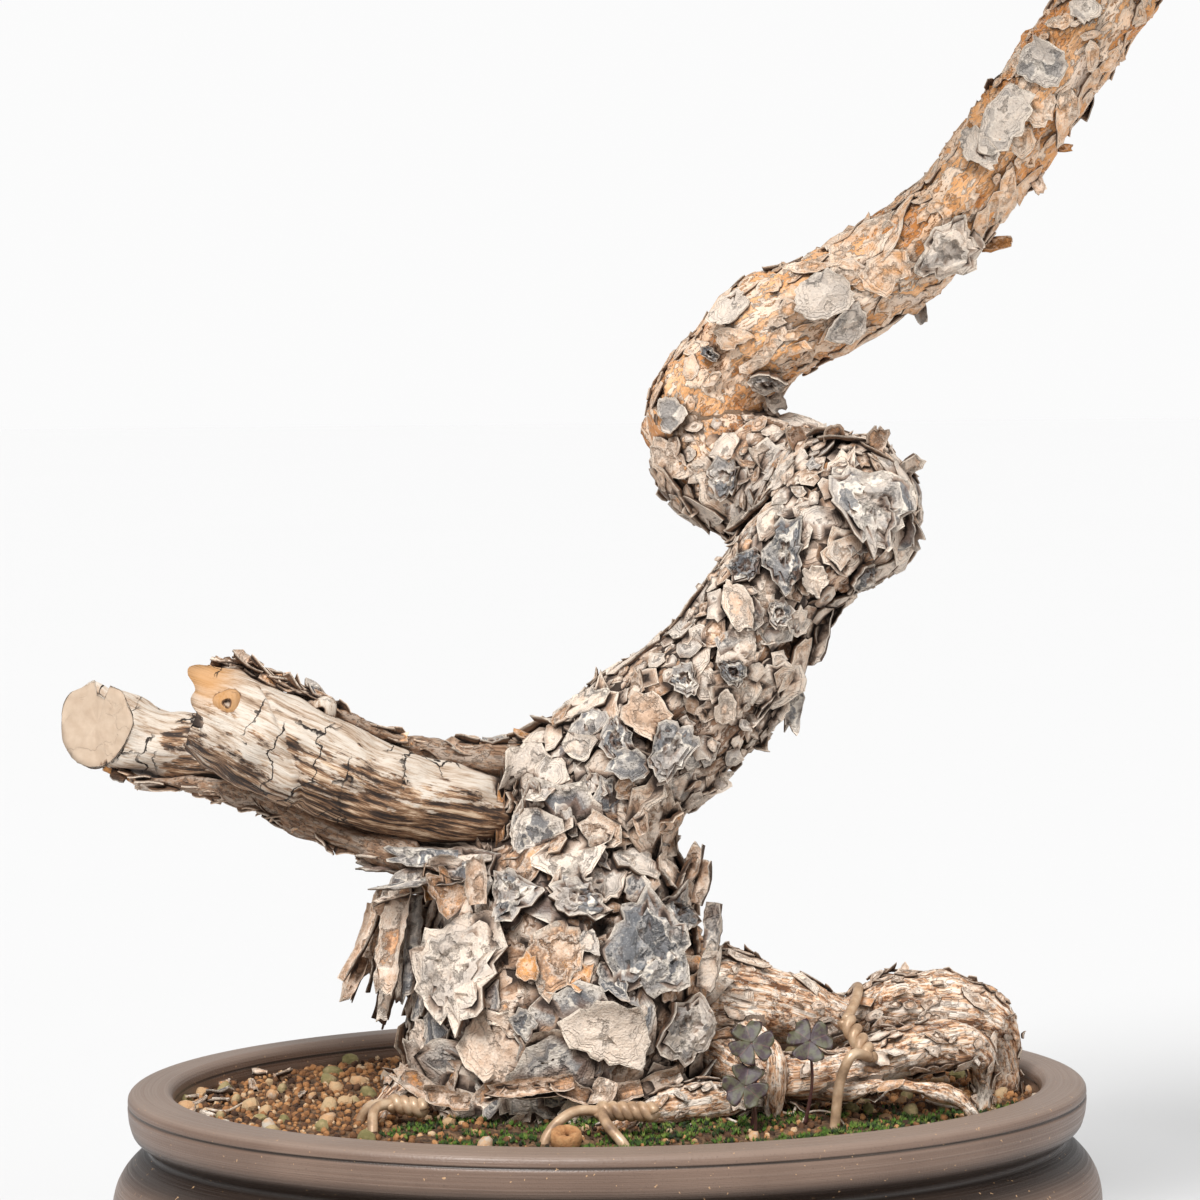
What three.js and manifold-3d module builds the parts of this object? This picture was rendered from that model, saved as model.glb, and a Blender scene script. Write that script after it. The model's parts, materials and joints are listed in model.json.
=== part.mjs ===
// A Scots pine bonsai in an oval stoneware pot, in millimetres, +Z up.
// The origin is the middle of the pot's flat foot, and X runs along the pot's long side.
// The tree is drawn in its own frame: u to the viewer's right, v away from the viewer, w up.
import * as THREE from "three";
import { mergeVertices } from "three/addons/utils/BufferGeometryUtils.js";
import Module from "manifold-3d";

const wasm = await Module();
wasm.setup();

// Driving dimensions
const treeTurn = THREE.MathUtils.degToRad(-7.5); // the tree's front is turned a little from the pot's
const gap = 0.35; // clearance between pieces that touch
const rimHeight = 84;
const rimInside = { length: 127, width: 102.5 }; // half sizes of the oval at the rim's inner edge
const soilHeight = 79;
const floorTop = 12;
const holeAcross = 55; // the drain holes stand this far from the middle
const wireRadius = 1.7;
const goldenAngle = 2.39996;

const materials = {
  clay: new THREE.MeshStandardMaterial({ color: 0x6b5a50, roughness: 0.75 }),
  soil: new THREE.MeshStandardMaterial({ color: 0x8a5a32, roughness: 0.95 }),
  screen: new THREE.MeshStandardMaterial({ color: 0x26282a, roughness: 0.6 }),
  bark: new THREE.MeshStandardMaterial({ color: 0x9a8878, roughness: 0.9 }),
  deadwood: new THREE.MeshStandardMaterial({ color: 0xc2ab8d, roughness: 0.8 }),
  needles: new THREE.MeshStandardMaterial({ color: 0x4c6b3c, roughness: 0.6 }),
  wire: new THREE.MeshStandardMaterial({ color: 0x8a6a52, roughness: 0.45, metalness: 0.8 }),
  clover: new THREE.MeshStandardMaterial({ color: 0x4a3a40, roughness: 0.6 }),
  husk: new THREE.MeshStandardMaterial({ color: 0xa06a38, roughness: 0.9 }),
};

// Helpers

function seeded(seed) {
  let state = seed;
  return () => {
    state = (state + 0x6d2b79f5) | 0;
    let t = Math.imul(state ^ (state >>> 15), 1 | state);
    t = (t + Math.imul(t ^ (t >>> 7), 61 | t)) ^ t;
    return ((t ^ (t >>> 14)) >>> 0) / 4294967296;
  };
}

function vector([x, y, z]) {
  return new THREE.Vector3(x, y, z);
}

// A closed geometry as a solid that can be joined and cut.
function solidFrom(geometry) {
  const loose = geometry.index ? geometry.toNonIndexed() : geometry;
  const bare = new THREE.BufferGeometry().setAttribute("position", loose.getAttribute("position"));
  const merged = mergeVertices(bare, 1e-4);
  const triVerts = new Uint32Array(merged.index.array);
  return new wasm.Manifold(
    new wasm.Mesh({ numProp: 3, vertProperties: merged.attributes.position.array, triVerts }),
  );
}

function join(solids) {
  return solids.reduce((whole, next) => whole.add(next));
}

// The largest body of a solid, as a named mesh. What a cut leaves loose beside it is dropped.
function meshOf(name, solid, material) {
  const bodies = solid.decompose();
  bodies.sort((a, b) => b.volume() - a.volume());
  const made = bodies[0].getMesh();
  const position = new Float32Array(made.numVert * 3);
  for (let i = 0; i < made.numVert; i++) {
    position.set(made.vertProperties.subarray(i * made.numProp, i * made.numProp + 3), i * 3);
  }
  const geometry = new THREE.BufferGeometry()
    .setAttribute("position", new THREE.BufferAttribute(position, 3))
    .setIndex(new THREE.BufferAttribute(made.triVerts, 1));
  geometry.computeVertexNormals();
  const mesh = new THREE.Mesh(geometry, material);
  mesh.name = name;
  return mesh;
}

// Triangles between rings of equal length, with a fan at each end.
function skin(rings, first, last) {
  const points = [first, ...rings.flat(), last];
  const sides = rings[0].length;
  const faces = [];
  const at = (ring, k) => 1 + ring * sides + (k % sides);
  for (let k = 0; k < sides; k++) {
    faces.push(0, at(0, k + 1), at(0, k));
    faces.push(points.length - 1, at(rings.length - 1, k), at(rings.length - 1, k + 1));
  }
  for (let ring = 0; ring + 1 < rings.length; ring++) {
    for (let k = 0; k < sides; k++) {
      faces.push(at(ring, k), at(ring, k + 1), at(ring + 1, k));
      faces.push(at(ring, k + 1), at(ring + 1, k + 1), at(ring + 1, k));
    }
  }
  const flat = new Float32Array(points.flatMap((p) => [p.x, p.y, p.z]));
  return new THREE.BufferGeometry()
    .setAttribute("position", new THREE.BufferAttribute(flat, 3))
    .setIndex(faces);
}

// A round limb along a smooth line. A station is [u, v, w, radius].
class Limb {
  constructor(stations, rings) {
    this.rings = rings;
    this.radii = stations.map((s) => s[3]);
    this.line = new THREE.CatmullRomCurve3(stations.map(vector), false, "centripetal");
    this.line.arcLengthDivisions = 400;
    this.frames = this.line.computeFrenetFrames(rings);
  }

  radius(along) {
    const t = this.line.getUtoTmapping(along) * (this.radii.length - 1);
    const k = Math.min(Math.floor(t), this.radii.length - 2);
    return THREE.MathUtils.lerp(this.radii[k], this.radii[k + 1], THREE.MathUtils.smoothstep(t - k, 0, 1));
  }

  alongAtHeight(height) {
    let along = 0;
    while (along < 1 && this.line.getPointAt(along).z < height) {
      along += 0.005;
    }
    return along;
  }

  // The outward direction, and the direction along the limb, at a share of its length and an angle round it.
  directions(along, angle) {
    const k = Math.round(along * this.rings);
    const out = this.frames.normals[k].clone().multiplyScalar(Math.cos(angle));
    out.addScaledVector(this.frames.binormals[k], Math.sin(angle));
    return { out, forward: this.frames.tangents[k] };
  }

  geometry(sides, grow = 0, relief = () => 0) {
    const rings = [];
    for (let k = 0; k <= this.rings; k++) {
      const along = k / this.rings;
      const centre = this.line.getPointAt(along);
      const ring = [];
      for (let i = 0; i < sides; i++) {
        const angle = (i / sides) * 2 * Math.PI;
        const reach = this.radius(along) + relief(angle, along) + grow;
        ring.push(centre.clone().addScaledVector(this.directions(along, angle).out, reach));
      }
      rings.push(ring);
    }
    const first = this.line.getPointAt(0).addScaledVector(this.frames.tangents[0], -grow);
    const last = this.line.getPointAt(1).addScaledVector(this.frames.tangents[this.rings], grow);
    return skin(rings, first, last);
  }
}

// A flat bark plate with a lobed outline, whose outer face looks along out.
function plate({ centre, out, up, width, height, thickness, lobe = 0, corners = 7 }) {
  const outline = [];
  for (let i = 0; i < corners; i++) {
    const angle = (i / corners) * 2 * Math.PI;
    const reach = 1 + 0.16 * Math.sin(3 * angle + lobe) + 0.1 * Math.sin(5 * angle + 2 * lobe);
    outline.push(new THREE.Vector2(width * Math.cos(angle), height * Math.sin(angle)).multiplyScalar(reach / 2));
  }
  const shape = new THREE.Shape(outline);
  const geometry = new THREE.ExtrudeGeometry(shape, { depth: thickness, bevelEnabled: false, steps: 1 });
  const z = out.clone().normalize();
  const x = new THREE.Vector3().crossVectors(up, z).normalize();
  const y = new THREE.Vector3().crossVectors(z, x);
  geometry.applyMatrix4(new THREE.Matrix4().makeBasis(x, y, z).setPosition(centre));
  return geometry;
}

// Small plates all over a limb, each sunk at its middle and lifted at one edge.
function barkPlates(limb, { count, width, length, thickness, seed, from = 0, to = 1, keep = () => true }) {
  const random = seeded(seed);
  const made = [];
  for (let i = 0; i < count; i++) {
    const along = from + ((to - from) * (i + 0.5)) / count;
    const angle = i * goldenAngle + 0.8 * random();
    const size = 0.75 + 0.5 * random();
    const tilt = (random() - 0.35) * 0.35;
    const lobe = random() * 6;
    const { out, forward } = limb.directions(along, angle);
    const centre = limb.line.getPointAt(along).addScaledVector(out, limb.radius(along) - 0.9);
    if (keep(centre)) {
      const face = out.clone().addScaledVector(forward, tilt);
      made.push(
        solidFrom(
          plate({
            centre,
            out: face,
            up: forward,
            width: width * size,
            height: length * size,
            thickness,
            lobe,
            corners: 5,
          }),
        ),
      );
    }
  }
  return made;
}

// Pot: one oval wall profile swept round, each point [distance out from the rim's inner edge, height].

const outerProfile = [
  [10.5, 83.4], [12.3, 81.2], [12.2, 76], [10, 70.8], [6.4, 67], [10.2, 63.8],
  [14.6, 58.5], [16.9, 51], [16.9, 43], [14.4, 32.5], [8.5, 21.5], [-1, 11], [-8, 5], [-9, 0],
];
const innerProfile = [[-1, 70], [-1, 64], [6.5, 52], [8, 40], [4, 26], [-14, floorTop]];
const potSides = 36;

function ovalRing(offset, height, sides) {
  const ring = [];
  for (let i = 0; i < sides; i++) {
    const angle = (i / sides) * 2 * Math.PI;
    const normal = new THREE.Vector2(
      Math.cos(angle) / rimInside.length,
      Math.sin(angle) / rimInside.width,
    ).normalize();
    const x = rimInside.length * Math.cos(angle) + offset * normal.x;
    const y = rimInside.width * Math.sin(angle) + offset * normal.y;
    ring.push(new THREE.Vector3(x, y, height));
  }
  return ring;
}

function makePot() {
  const holeRadius = 9;
  const channel = { width: 12, depth: 5 };
  const rings = [...innerProfile].reverse().concat([[0, rimHeight]], outerProfile);
  const wall = skin(
    rings.map(([offset, height]) => ovalRing(offset, height, potSides)).reverse(),
    new THREE.Vector3(0, 0, 0),
    new THREE.Vector3(0, 0, floorTop),
  );
  let pot = solidFrom(wall);
  for (const side of [-1, 1]) {
    const hole = new THREE.CylinderGeometry(holeRadius, holeRadius, 3 * floorTop, 14);
    hole.rotateX(Math.PI / 2).translate(side * holeAcross, 0, 0);
    const under = new THREE.BoxGeometry(channel.width, 3 * rimInside.width, 2 * channel.depth);
    under.translate(side * holeAcross, 0, 0);
    pot = pot.subtract(solidFrom(hole)).subtract(solidFrom(under));
  }
  return pot;
}

// Plastic mesh over each drain hole, so that the grains stay in.
const screenSize = { side: 30, thickness: 1.2, bars: 3, hole: 7 };

function makeScreen(across, grow = 0) {
  const { side, thickness, bars, hole } = screenSize;
  const sheet = new THREE.BoxGeometry(side + 2 * grow, side + 2 * grow, thickness + 2 * grow);
  const middle = floorTop + gap + thickness / 2;
  let screen = solidFrom(sheet.translate(across, 0, middle));
  if (grow > 0) {
    return screen;
  }
  for (let i = 0; i < bars * bars; i++) {
    const x = ((i % bars) - (bars - 1) / 2) * (side / bars);
    const y = (Math.floor(i / bars) - (bars - 1) / 2) * (side / bars);
    const opening = new THREE.BoxGeometry(hole, hole, 3 * thickness);
    screen = screen.subtract(solidFrom(opening.translate(across + x, y, middle)));
  }
  return screen;
}

// Tree. The trunk leaves the soil as a swollen base, leans right, turns back at the elbow and climbs to the right.

const trunkLine = new Limb(
  [
    [-11.5, 6, 53, 20], [-13, 5, 67, 37], [-13, 4, 78.5, 41], [-13, 4, 94.5, 42], [-12.5, 4, 110.5, 41.5],
    [-12, 4, 126.5, 38], [-9, 5, 141.5, 31], [-7, 5, 155.5, 23], [-1, 3, 169, 21.4], [9, 0, 181, 20.8],
    [23.5, -2, 193.5, 20], [36.5, -3, 208.5, 18.5], [47.5, -2, 226.5, 16.9], [57, 1, 239, 17.6],
  ],
  23,
);
const elbowLine = new Limb(
  [
    [49, -2, 228, 16.4], [60, 2, 240, 18.8], [68, 9, 247, 20.4], [68, 24, 248.5, 20], [62, 42, 249.5, 19.2],
    [51.5, 58, 252.5, 18.8], [38, 69, 259, 19], [30, 73, 270, 17.8],
  ],
  8,
);
const upperLine = new Limb(
  [
    [36, 70, 262, 15], [30.5, 73, 271.5, 17.4], [35.5, 71, 284.5, 16.2], [46.5, 64, 298.5, 16], [61, 58, 306.5, 15.4],
    [82.5, 54, 318.5, 14.6], [103.5, 50, 336, 13.6], [119.5, 46, 358, 13.2], [133.5, 42, 377.5, 12.9], [147.5, 36, 397, 12.7],
    [159.5, 30, 418.5, 12.2], [165.5, 24, 440.5, 11.4], [160, 16, 462.5, 10.4], [145, 10, 479, 9.6], [129, 4, 494.5, 8.6],
    [120.5, -4, 514.5, 7.4], [120.5, -11, 534.5, 6], [112.5, -16, 550.5, 4.6], [101, -18, 562, 3],
  ],
  28,
);

const rootLines = {
  right: new Limb(
    [
      [-0.5, 2, 103, 16], [21.5, 0, 109, 15], [37.5, -2, 108.5, 13], [52, 0, 105, 10.6], [62, 1, 101.5, 8.6],
      [70.5, 3, 99, 7.2], [76.5, 5, 100.5, 10.2], [84.5, 6, 102, 12.6], [97, 8, 101.5, 12.3], [108, 11, 99, 9],
      [114, 15, 94.5, 6.4], [116.5, 20, 82.5, 5], [116.5, 22, 68, 4],
    ],
    16,
  ),
  rightFront: new Limb(
    [
      [29.5, -8, 93.5, 6], [42.5, -14, 88, 7], [54.5, -18, 87.5, 7.8], [68.5, -20, 90.5, 7.5], [83.5, -20, 94, 7.2],
      [96.5, -18, 96, 6.6], [104.5, -14, 95, 4.6], [107.5, -12, 86.5, 3.4], [107.5, -12, 72, 3],
    ],
    12,
  ),
  front: new Limb(
    [[-6, -52, 67, 3], [-2, -49, 77, 3.6], [9, -42, 81, 4.8], [23, -36, 83, 5.6], [36.5, -28, 83.5, 5.4], [45.5, -18, 85.5, 5]],
    9,
  ),
  thin: new Limb(
    [[57.5, -20, 85.5, 2.4], [67.5, -28, 85, 2.3], [79.5, -31, 87.5, 2.3], [90.5, -32, 86.5, 2.3], [100.5, -34, 83, 2], [106.5, -36, 74.5, 1.6]],
    10,
  ),
  upright: new Limb([[37.5, -8, 101.5, 3.6], [43.5, -19, 100.5, 3.2], [47, -27, 95.5, 3.2], [47, -29, 87.5, 3], [46, -29, 73.5, 3]], 8),
  left: new Limb([[-40, -6, 90.5, 5], [-54, -14, 87, 4.6], [-63, -22, 82, 4], [-69.5, -27, 72, 3]], 7),
  back: new Limb([[-20, 24, 96.5, 13], [-28, 42, 90.5, 9], [-40, 58, 83.5, 6.5], [-50, 68, 70, 5]], 8),
  backRight: new Limb([[5.5, 24, 95, 12], [21.5, 42, 90, 8.5], [39.5, 56, 84.5, 6], [51.5, 66, 71.5, 4.6]], 8),
};

// Branches of the crown. The last station is where the foliage of that branch starts.
const branchLines = {
  right: new Limb([[162.5, 28, 431.5, 6], [180.5, 24, 441.5, 5.4], [200.5, 16, 441, 4.6], [220.5, 9, 432, 3.6]], 5),
  left: new Limb([[160, 17, 463.5, 6], [136, 2, 469, 5.2], [106.5, -10, 474.5, 4.6], [78.5, -18, 472, 3.8], [60.5, -22, 465, 3]], 6),
  front: new Limb([[164.5, 24, 443.5, 5], [165.5, 6, 452.5, 4.2], [162.5, -14, 453.5, 3.4]], 4),
  back: new Limb([[146, 12, 478, 5], [148, 34, 491, 4.2], [142, 58, 496, 3.4]], 4),
  upperRight: new Limb([[128, 3, 496.5, 4.6], [143.5, -3, 509, 4], [163.5, -8, 512, 3.2]], 4),
  upperLeft: new Limb([[120.5, -6, 518.5, 4.2], [105.5, -18, 527.5, 3.6], [91.5, -28, 528, 3]], 4),
};

// Bare wood: a thick stub with a torn end, and a thinner one behind it that was sawn off on the slant.
const jinLine = new Limb(
  [
    [-13, 4, 159.5, 9], [-29, 2, 161.5, 11], [-48, -6, 166, 11.8], [-65, -11, 170.5, 13], [-81, -14, 177.5, 14.2],
    [-96, -15, 185, 14.4], [-107, -15, 190.5, 13.6], [-117, -15, 194.5, 12.6],
  ],
  16,
);
const sawnLine = new Limb(
  [[-71, 0, 172.5, 8], [-91, 12, 176.5, 9.6], [-111, 22, 179, 9.6], [-133, 27, 180.5, 9.4], [-151, 30, 186.5, 9.6], [-165, 32, 194, 9]],
  12,
);

// Strips of bark that were left along the bare stubs, above and below them.
const barkStrips = [
  new Limb(
    [
      [2, 4, 182, 7], [-14, 2, 181, 6.5], [-31, 0, 179.5, 4.6], [-50, -3, 181, 2.4], [-68, -8, 187, 2.2],
      [-82, -11, 195, 2.2], [-97, -12, 202.5, 2.2], [-110, -12, 207.5, 2],
    ],
    8,
  ),
  new Limb(
    [
      [-58, -13, 148.5, 4], [-76, -10, 154, 3.4], [-90, -4, 160, 3.4], [-104, 6, 165.5, 3], [-120, 16, 169, 2.6],
      [-134, 20, 170, 2.2], [-146, 24, 174, 1.8],
    ],
    7,
  ),
];

function barkRelief(angle, along) {
  return 0.8 * Math.sin(3 * angle + 40 * along) + 0.7 * Math.sin(7 * angle - 90 * along + 1);
}

function woodRelief(angle, along) {
  return 0.5 * Math.sin(5 * angle + 6 * along) + (along > 0.97 ? 1.6 * Math.sin(4 * angle) : 0);
}

function makeDeadwood(grow = 0) {
  const relief = grow > 0 ? (angle, along) => (along > 0.93 ? 2.2 : 0.6) : woodRelief;
  const stub = solidFrom(jinLine.geometry(14, grow, relief));
  let sawn = solidFrom(sawnLine.geometry(10, grow));
  const knob = new THREE.SphereGeometry(3.4 + grow, 8, 6).translate(-82, -12, 191.5);
  const collar = new THREE.SphereGeometry(3.6 + grow, 8, 6).translate(-110, -27, 193);
  if (grow === 0) {
    // The slanting saw cut, and the notch that runs into it.
    const cut = new THREE.BoxGeometry(60, 60, 60).translate(-30, 0, 0);
    cut.rotateY(0.35).rotateZ(0.75).translate(-145, 20, 184.5);
    const notch = new THREE.BoxGeometry(4, 30, 9).rotateY(0.3).translate(-144, 26, 195.5);
    sawn = sawn.subtract(solidFrom(cut)).subtract(solidFrom(notch));
  }
  return join([stub, sawn, solidFrom(knob), solidFrom(collar)]);
}

// Large plates on the swollen base, each [height, angle from the viewer, lean, width, length].
const basePlates = [
  [118, -46, 0.1, 28, 38], [134, -10, 0.5, 28, 22], [119, 40, 0.05, 30, 36], [98, 18, -0.1, 23, 22],
  [98, 56, -0.1, 24, 24], [95, -62, -0.1, 22, 20], [89, -24, -0.1, 26, 17], [112, -3, 0, 18, 16],
  [112, -92, 0, 26, 34], [113, 92, 0, 26, 34], [112, -136, 0, 28, 34], [113, 136, 0, 28, 34],
  [112, 180, 0, 30, 36], [139, 66, 0.4, 24, 18],
];

// Bark that has come away and stands clear at one end, each [centre, outward, upward, width, height, thickness].
const looseBark = [
  [[-52, -14, 146], [-0.1, -0.1, 1], [-1, 0, -0.05], 24, 66, 5], // ledge under the bare stub
  [[-65.5, -14, 129], [-0.7, -0.7, 0.25], [0.33, 0, 0.94], 12, 54, 1.8], // curtains that hang from the ledge
  [[-61, -7, 127], [-0.8, -0.55, 0.2], [0.25, 0, 0.97], 12, 56, 1.8],
  [[-54, 5, 123], [-0.5, -0.85, 0.1], [0.12, 0, 1], 18, 58, 2],
  [[48.5, -7, 193.5], [0.85, -0.4, -0.3], [0.1, 0, 1], 7, 16, 1.6], // flares under the leaning trunk
  [[36.5, -6, 178], [0.7, -0.3, -0.65], [0.7, 0, 0.7], 7, 13, 1.6],
  [[26, 0, 217.5], [-0.7, -0.2, 0.7], [0.7, 0, 0.7], 10, 17, 1.6], // a flake on its upper side
  [[75.5, -8.5, 243], [0.85, -0.5, 0.1], [0, 0, 1], 20, 22, 3], // two large plates on the elbow
  [[66, -11, 251], [0.3, -0.7, 0.6], [0, 0, 1], 18, 16, 3],
];

function makeTree() {
  const pieces = [
    solidFrom(trunkLine.geometry(16, 0, barkRelief)),
    solidFrom(elbowLine.geometry(12, 0)),
    solidFrom(upperLine.geometry(10, 0, (angle, along) => 0.6 * barkRelief(angle, along) * (1 - along))),
  ];
  for (const root of Object.values(rootLines)) {
    pieces.push(solidFrom(root.geometry(6)));
  }
  for (const line of [...Object.values(branchLines), ...barkStrips]) {
    pieces.push(solidFrom(line.geometry(5)));
  }
  const aboveSoil = (centre) => centre.z > rimHeight + 2;
  pieces.push(
    ...barkPlates(trunkLine, { count: 12, width: 13, length: 16, thickness: 1.8, seed: 11, from: 0.46, keep: aboveSoil }),
    ...barkPlates(elbowLine, { count: 4, width: 13, length: 15, thickness: 1.8, seed: 12, from: 0.25 }),
    ...barkPlates(upperLine, { count: 9, width: 9, length: 17, thickness: 1.6, seed: 13, from: 0.08, to: 0.6 }),
    ...barkPlates(rootLines.right, { count: 3, width: 9, length: 14, thickness: 1.6, seed: 14, from: 0.25, to: 0.7 }),
  );
  for (const [height, angle, lean, width, length] of basePlates) {
    const turn = THREE.MathUtils.degToRad(angle);
    const out = new THREE.Vector3(Math.sin(turn), -Math.cos(turn), 0);
    const along = trunkLine.alongAtHeight(height);
    const centre = trunkLine.line.getPointAt(along).addScaledVector(out, trunkLine.radius(along) - 2);
    out.z = lean;
    const up = new THREE.Vector3(0, 0, 1);
    pieces.push(solidFrom(plate({ centre, out, up, width, height: length, thickness: 3.4, lobe: height + angle })));
  }
  for (const [centre, out, up, width, height, thickness] of looseBark) {
    const lobe = centre[0];
    pieces.push(
      solidFrom(plate({ centre: vector(centre), out: vector(out), up: vector(up), width, height, thickness, lobe })),
    );
  }
  return join(pieces).subtract(makeDeadwood(gap));
}

// What the soil has to clear: the buried part of the tree, a little larger all round.
function treeInSoil() {
  const pieces = [solidFrom(trunkLine.geometry(16, gap + 0.2, barkRelief))];
  for (const root of Object.values(rootLines)) {
    pieces.push(solidFrom(root.geometry(6, gap)));
  }
  return join(pieces);
}

// Foliage: short shoots at the ends of twigs, each a slim core with needles standing out all round it.

const needleLength = 27;
const shootSize = { width: 3.4, length: 15 };

// A closed core whose faces are each drawn out into one needle, wide at the shoot's foot and upright at its tip.
function makeShoot(foot, axis, random) {
  const core = new THREE.IcosahedronGeometry(shootSize.width / 2, 0).rotateX(0.5);
  core.scale(1, shootSize.length / shootSize.width, 1);
  const corner = core.getAttribute("position");
  const points = [];
  for (let i = 0; i < corner.count; i += 3) {
    const face = [0, 1, 2].map((k) => new THREE.Vector3().fromBufferAttribute(corner, i + k));
    const middle = new THREE.Vector3().add(face[0]).add(face[1]).add(face[2]).divideScalar(3);
    const height = middle.y / shootSize.length + 0.5;
    const round = Math.atan2(middle.z, middle.x);
    const spread = THREE.MathUtils.lerp(1.75, 0.3, height) + 0.2 * (random() - 0.5);
    const direction = new THREE.Vector3(Math.sin(spread) * Math.cos(round), Math.cos(spread), Math.sin(spread) * Math.sin(round));
    if (height > 0.2 && (i / 3) % 5 < 3) {
      const tip = middle.clone().addScaledVector(direction, needleLength * (0.85 + 0.3 * random()));
      points.push(face[0], face[1], tip, face[1], face[2], tip, face[2], face[0], tip);
    } else {
      points.push(...face);
    }
  }
  const geometry = new THREE.BufferGeometry().setFromPoints(points);
  geometry.translate(0, shootSize.length / 2 - 2, 0);
  geometry.applyQuaternion(new THREE.Quaternion().setFromUnitVectors(new THREE.Vector3(0, 1, 0), axis));
  return solidFrom(geometry.translate(foot.x, foot.y, foot.z));
}

function stick(from, to, thick, thin) {
  const span = new THREE.Vector3().subVectors(to, from);
  const bar = new THREE.CylinderGeometry(thin, thick, span.length(), 4, 1);
  bar.translate(0, span.length() / 2, 0);
  bar.applyQuaternion(
    new THREE.Quaternion().setFromUnitVectors(new THREE.Vector3(0, 1, 0), span.clone().normalize()),
  );
  return solidFrom(bar.translate(from.x, from.y, from.z));
}

// One leafy branch end: twigs fan out from the branch, flat and wide, and every twig carries a shoot.
function makeFoliage(branch, { reach, rise, shoots, fan, seed }) {
  const random = seeded(seed);
  const heading = branch.line.getTangentAt(1);
  const hub = branch.line.getPointAt(1).addScaledVector(heading, gap);
  const knuckle = hub.clone().addScaledVector(heading, 4);
  const level = Math.atan2(heading.y, heading.x);
  const pieces = [stick(hub, knuckle.clone().addScaledVector(heading, 2), 2.6, 2.2)];
  for (let i = 0; i < shoots; i++) {
    const turn = level + fan * (i / (shoots - 1) - 0.5);
    const far = reach * (0.6 + 0.4 * Math.abs(Math.sin(i * goldenAngle)));
    const foot = new THREE.Vector3(
      knuckle.x + far * Math.cos(turn),
      knuckle.y + far * Math.sin(turn),
      knuckle.z + rise * (0.5 + random()),
    );
    const axis = new THREE.Vector3(0.5 * Math.cos(turn), 0.5 * Math.sin(turn), 0.87).normalize();
    pieces.push(stick(knuckle, foot, 2, 1.3), makeShoot(foot, axis, random));
  }
  return join(pieces);
}

const foliage = {
  right: { reach: 33, rise: 5, shoots: 5, fan: 4.4, seed: 21 },
  left: { reach: 36, rise: 5, shoots: 5, fan: 4.6, seed: 22 },
  front: { reach: 26, rise: 4, shoots: 3, fan: 2.6, seed: 23 },
  back: { reach: 30, rise: 5, shoots: 4, fan: 3.4, seed: 24 },
  upperRight: { reach: 26, rise: 5, shoots: 3, fan: 2.6, seed: 25 },
  upperLeft: { reach: 26, rise: 5, shoots: 3, fan: 2.6, seed: 26 },
  apex: { reach: 24, rise: 12, shoots: 4, fan: 4.7, seed: 27 },
};

// Tie wires: two strands twisted together, whose ends go down into the soil.

function tail(points, grow = 0) {
  return solidFrom(new Limb(points.map((p) => [...p, wireRadius]), points.length + 1).geometry(5, grow));
}

// The twist is one body with two rounded sides that turn round each other.
function twist(start, end, turns, grow = 0) {
  const middle = start.map((x, i) => 0.5 * (x + end[i]));
  const line = new Limb([start, middle, end].map((p) => [...p, 1.3 * wireRadius]), 4 * turns);
  return solidFrom(line.geometry(8, grow, (angle, along) => 1.1 * Math.cos(2 * (angle - turns * 2 * Math.PI * along))));
}

// Each wire: where its twist starts and ends, and the two tails that run from the start into the soil.
const tieWires = {
  right: {
    from: [72, -28.5, 99.5],
    to: [69.5, -12, 108],
    turns: 2,
    tails: [
      [[72, -28, 100], [68, -34.5, 96], [64.5, -36, 88], [62.5, -37, 78], [62.5, -38, 67]],
      [[69.5, -13, 107.5], [70, -4, 110.5], [70.5, 5, 111], [70.5, 13, 107], [70.5, 16.5, 97], [70.5, 17, 84], [70.5, 17, 67]],
    ],
  },
  front: {
    from: [-3, -58, 85.5],
    to: [13, -60, 85.5],
    turns: 3,
    tails: [
      [[-2, -58, 85.5], [-10, -60, 85.5], [-17, -64, 80], [-20, -67, 69]],
      [[-2, -59, 86], [-1, -65, 83.5], [4, -70, 78], [9, -72, 69]],
    ],
  },
  left: {
    from: [-62, -36, 84],
    to: [-52, -37, 82.5],
    turns: 2,
    tails: [
      [[-61, -36, 84], [-66, -40, 83], [-66.5, -46, 77], [-66.5, -48, 68]],
      [[-61, -35.5, 84], [-68, -32, 82], [-71.5, -30, 76], [-73.5, -29, 68]],
    ],
  },
};

function makeTieWire({ from, to, turns, tails }, grow = 0) {
  return join([twist(from, to, turns, grow), ...tails.map((points) => tail(points, grow))]);
}

// Clover seedlings: three heart-shaped leaflets on a thin stalk.

const leafletSize = { length: 6.6, width: 7, thickness: 0.7 };
const clovers = [
  { foot: [40, -44, 77.5], head: [40, -47, 102.5], tip: 0.5, seed: 0.3 },
  { foot: [41, -48, 77.5], head: [38, -51, 91], tip: 0.6, seed: 1.9 },
  { foot: [55.5, -36, 77.5], head: [56.5, -44, 102.5], tip: 0.45, seed: 0.9 },
];

function leaflet() {
  const { length, width, thickness } = leafletSize;
  const outline = [[-0.06, 0], [-0.5, 0.62], [-0.36, 1], [0, 0.82], [0.36, 1], [0.5, 0.62], [0.06, 0]];
  const shape = new THREE.Shape(outline.map(([x, y]) => new THREE.Vector2(x * width, y * length)));
  return new THREE.ExtrudeGeometry(shape, { depth: thickness, bevelEnabled: false, steps: 1 });
}

function makeStalk({ foot, head }, grow = 0) {
  const middle = head.map((x, i) => 0.5 * (x + foot[i]));
  return solidFrom(new Limb([foot, middle, head].map((p) => [...p, 0.6]), 2).geometry(4, grow));
}

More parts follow.
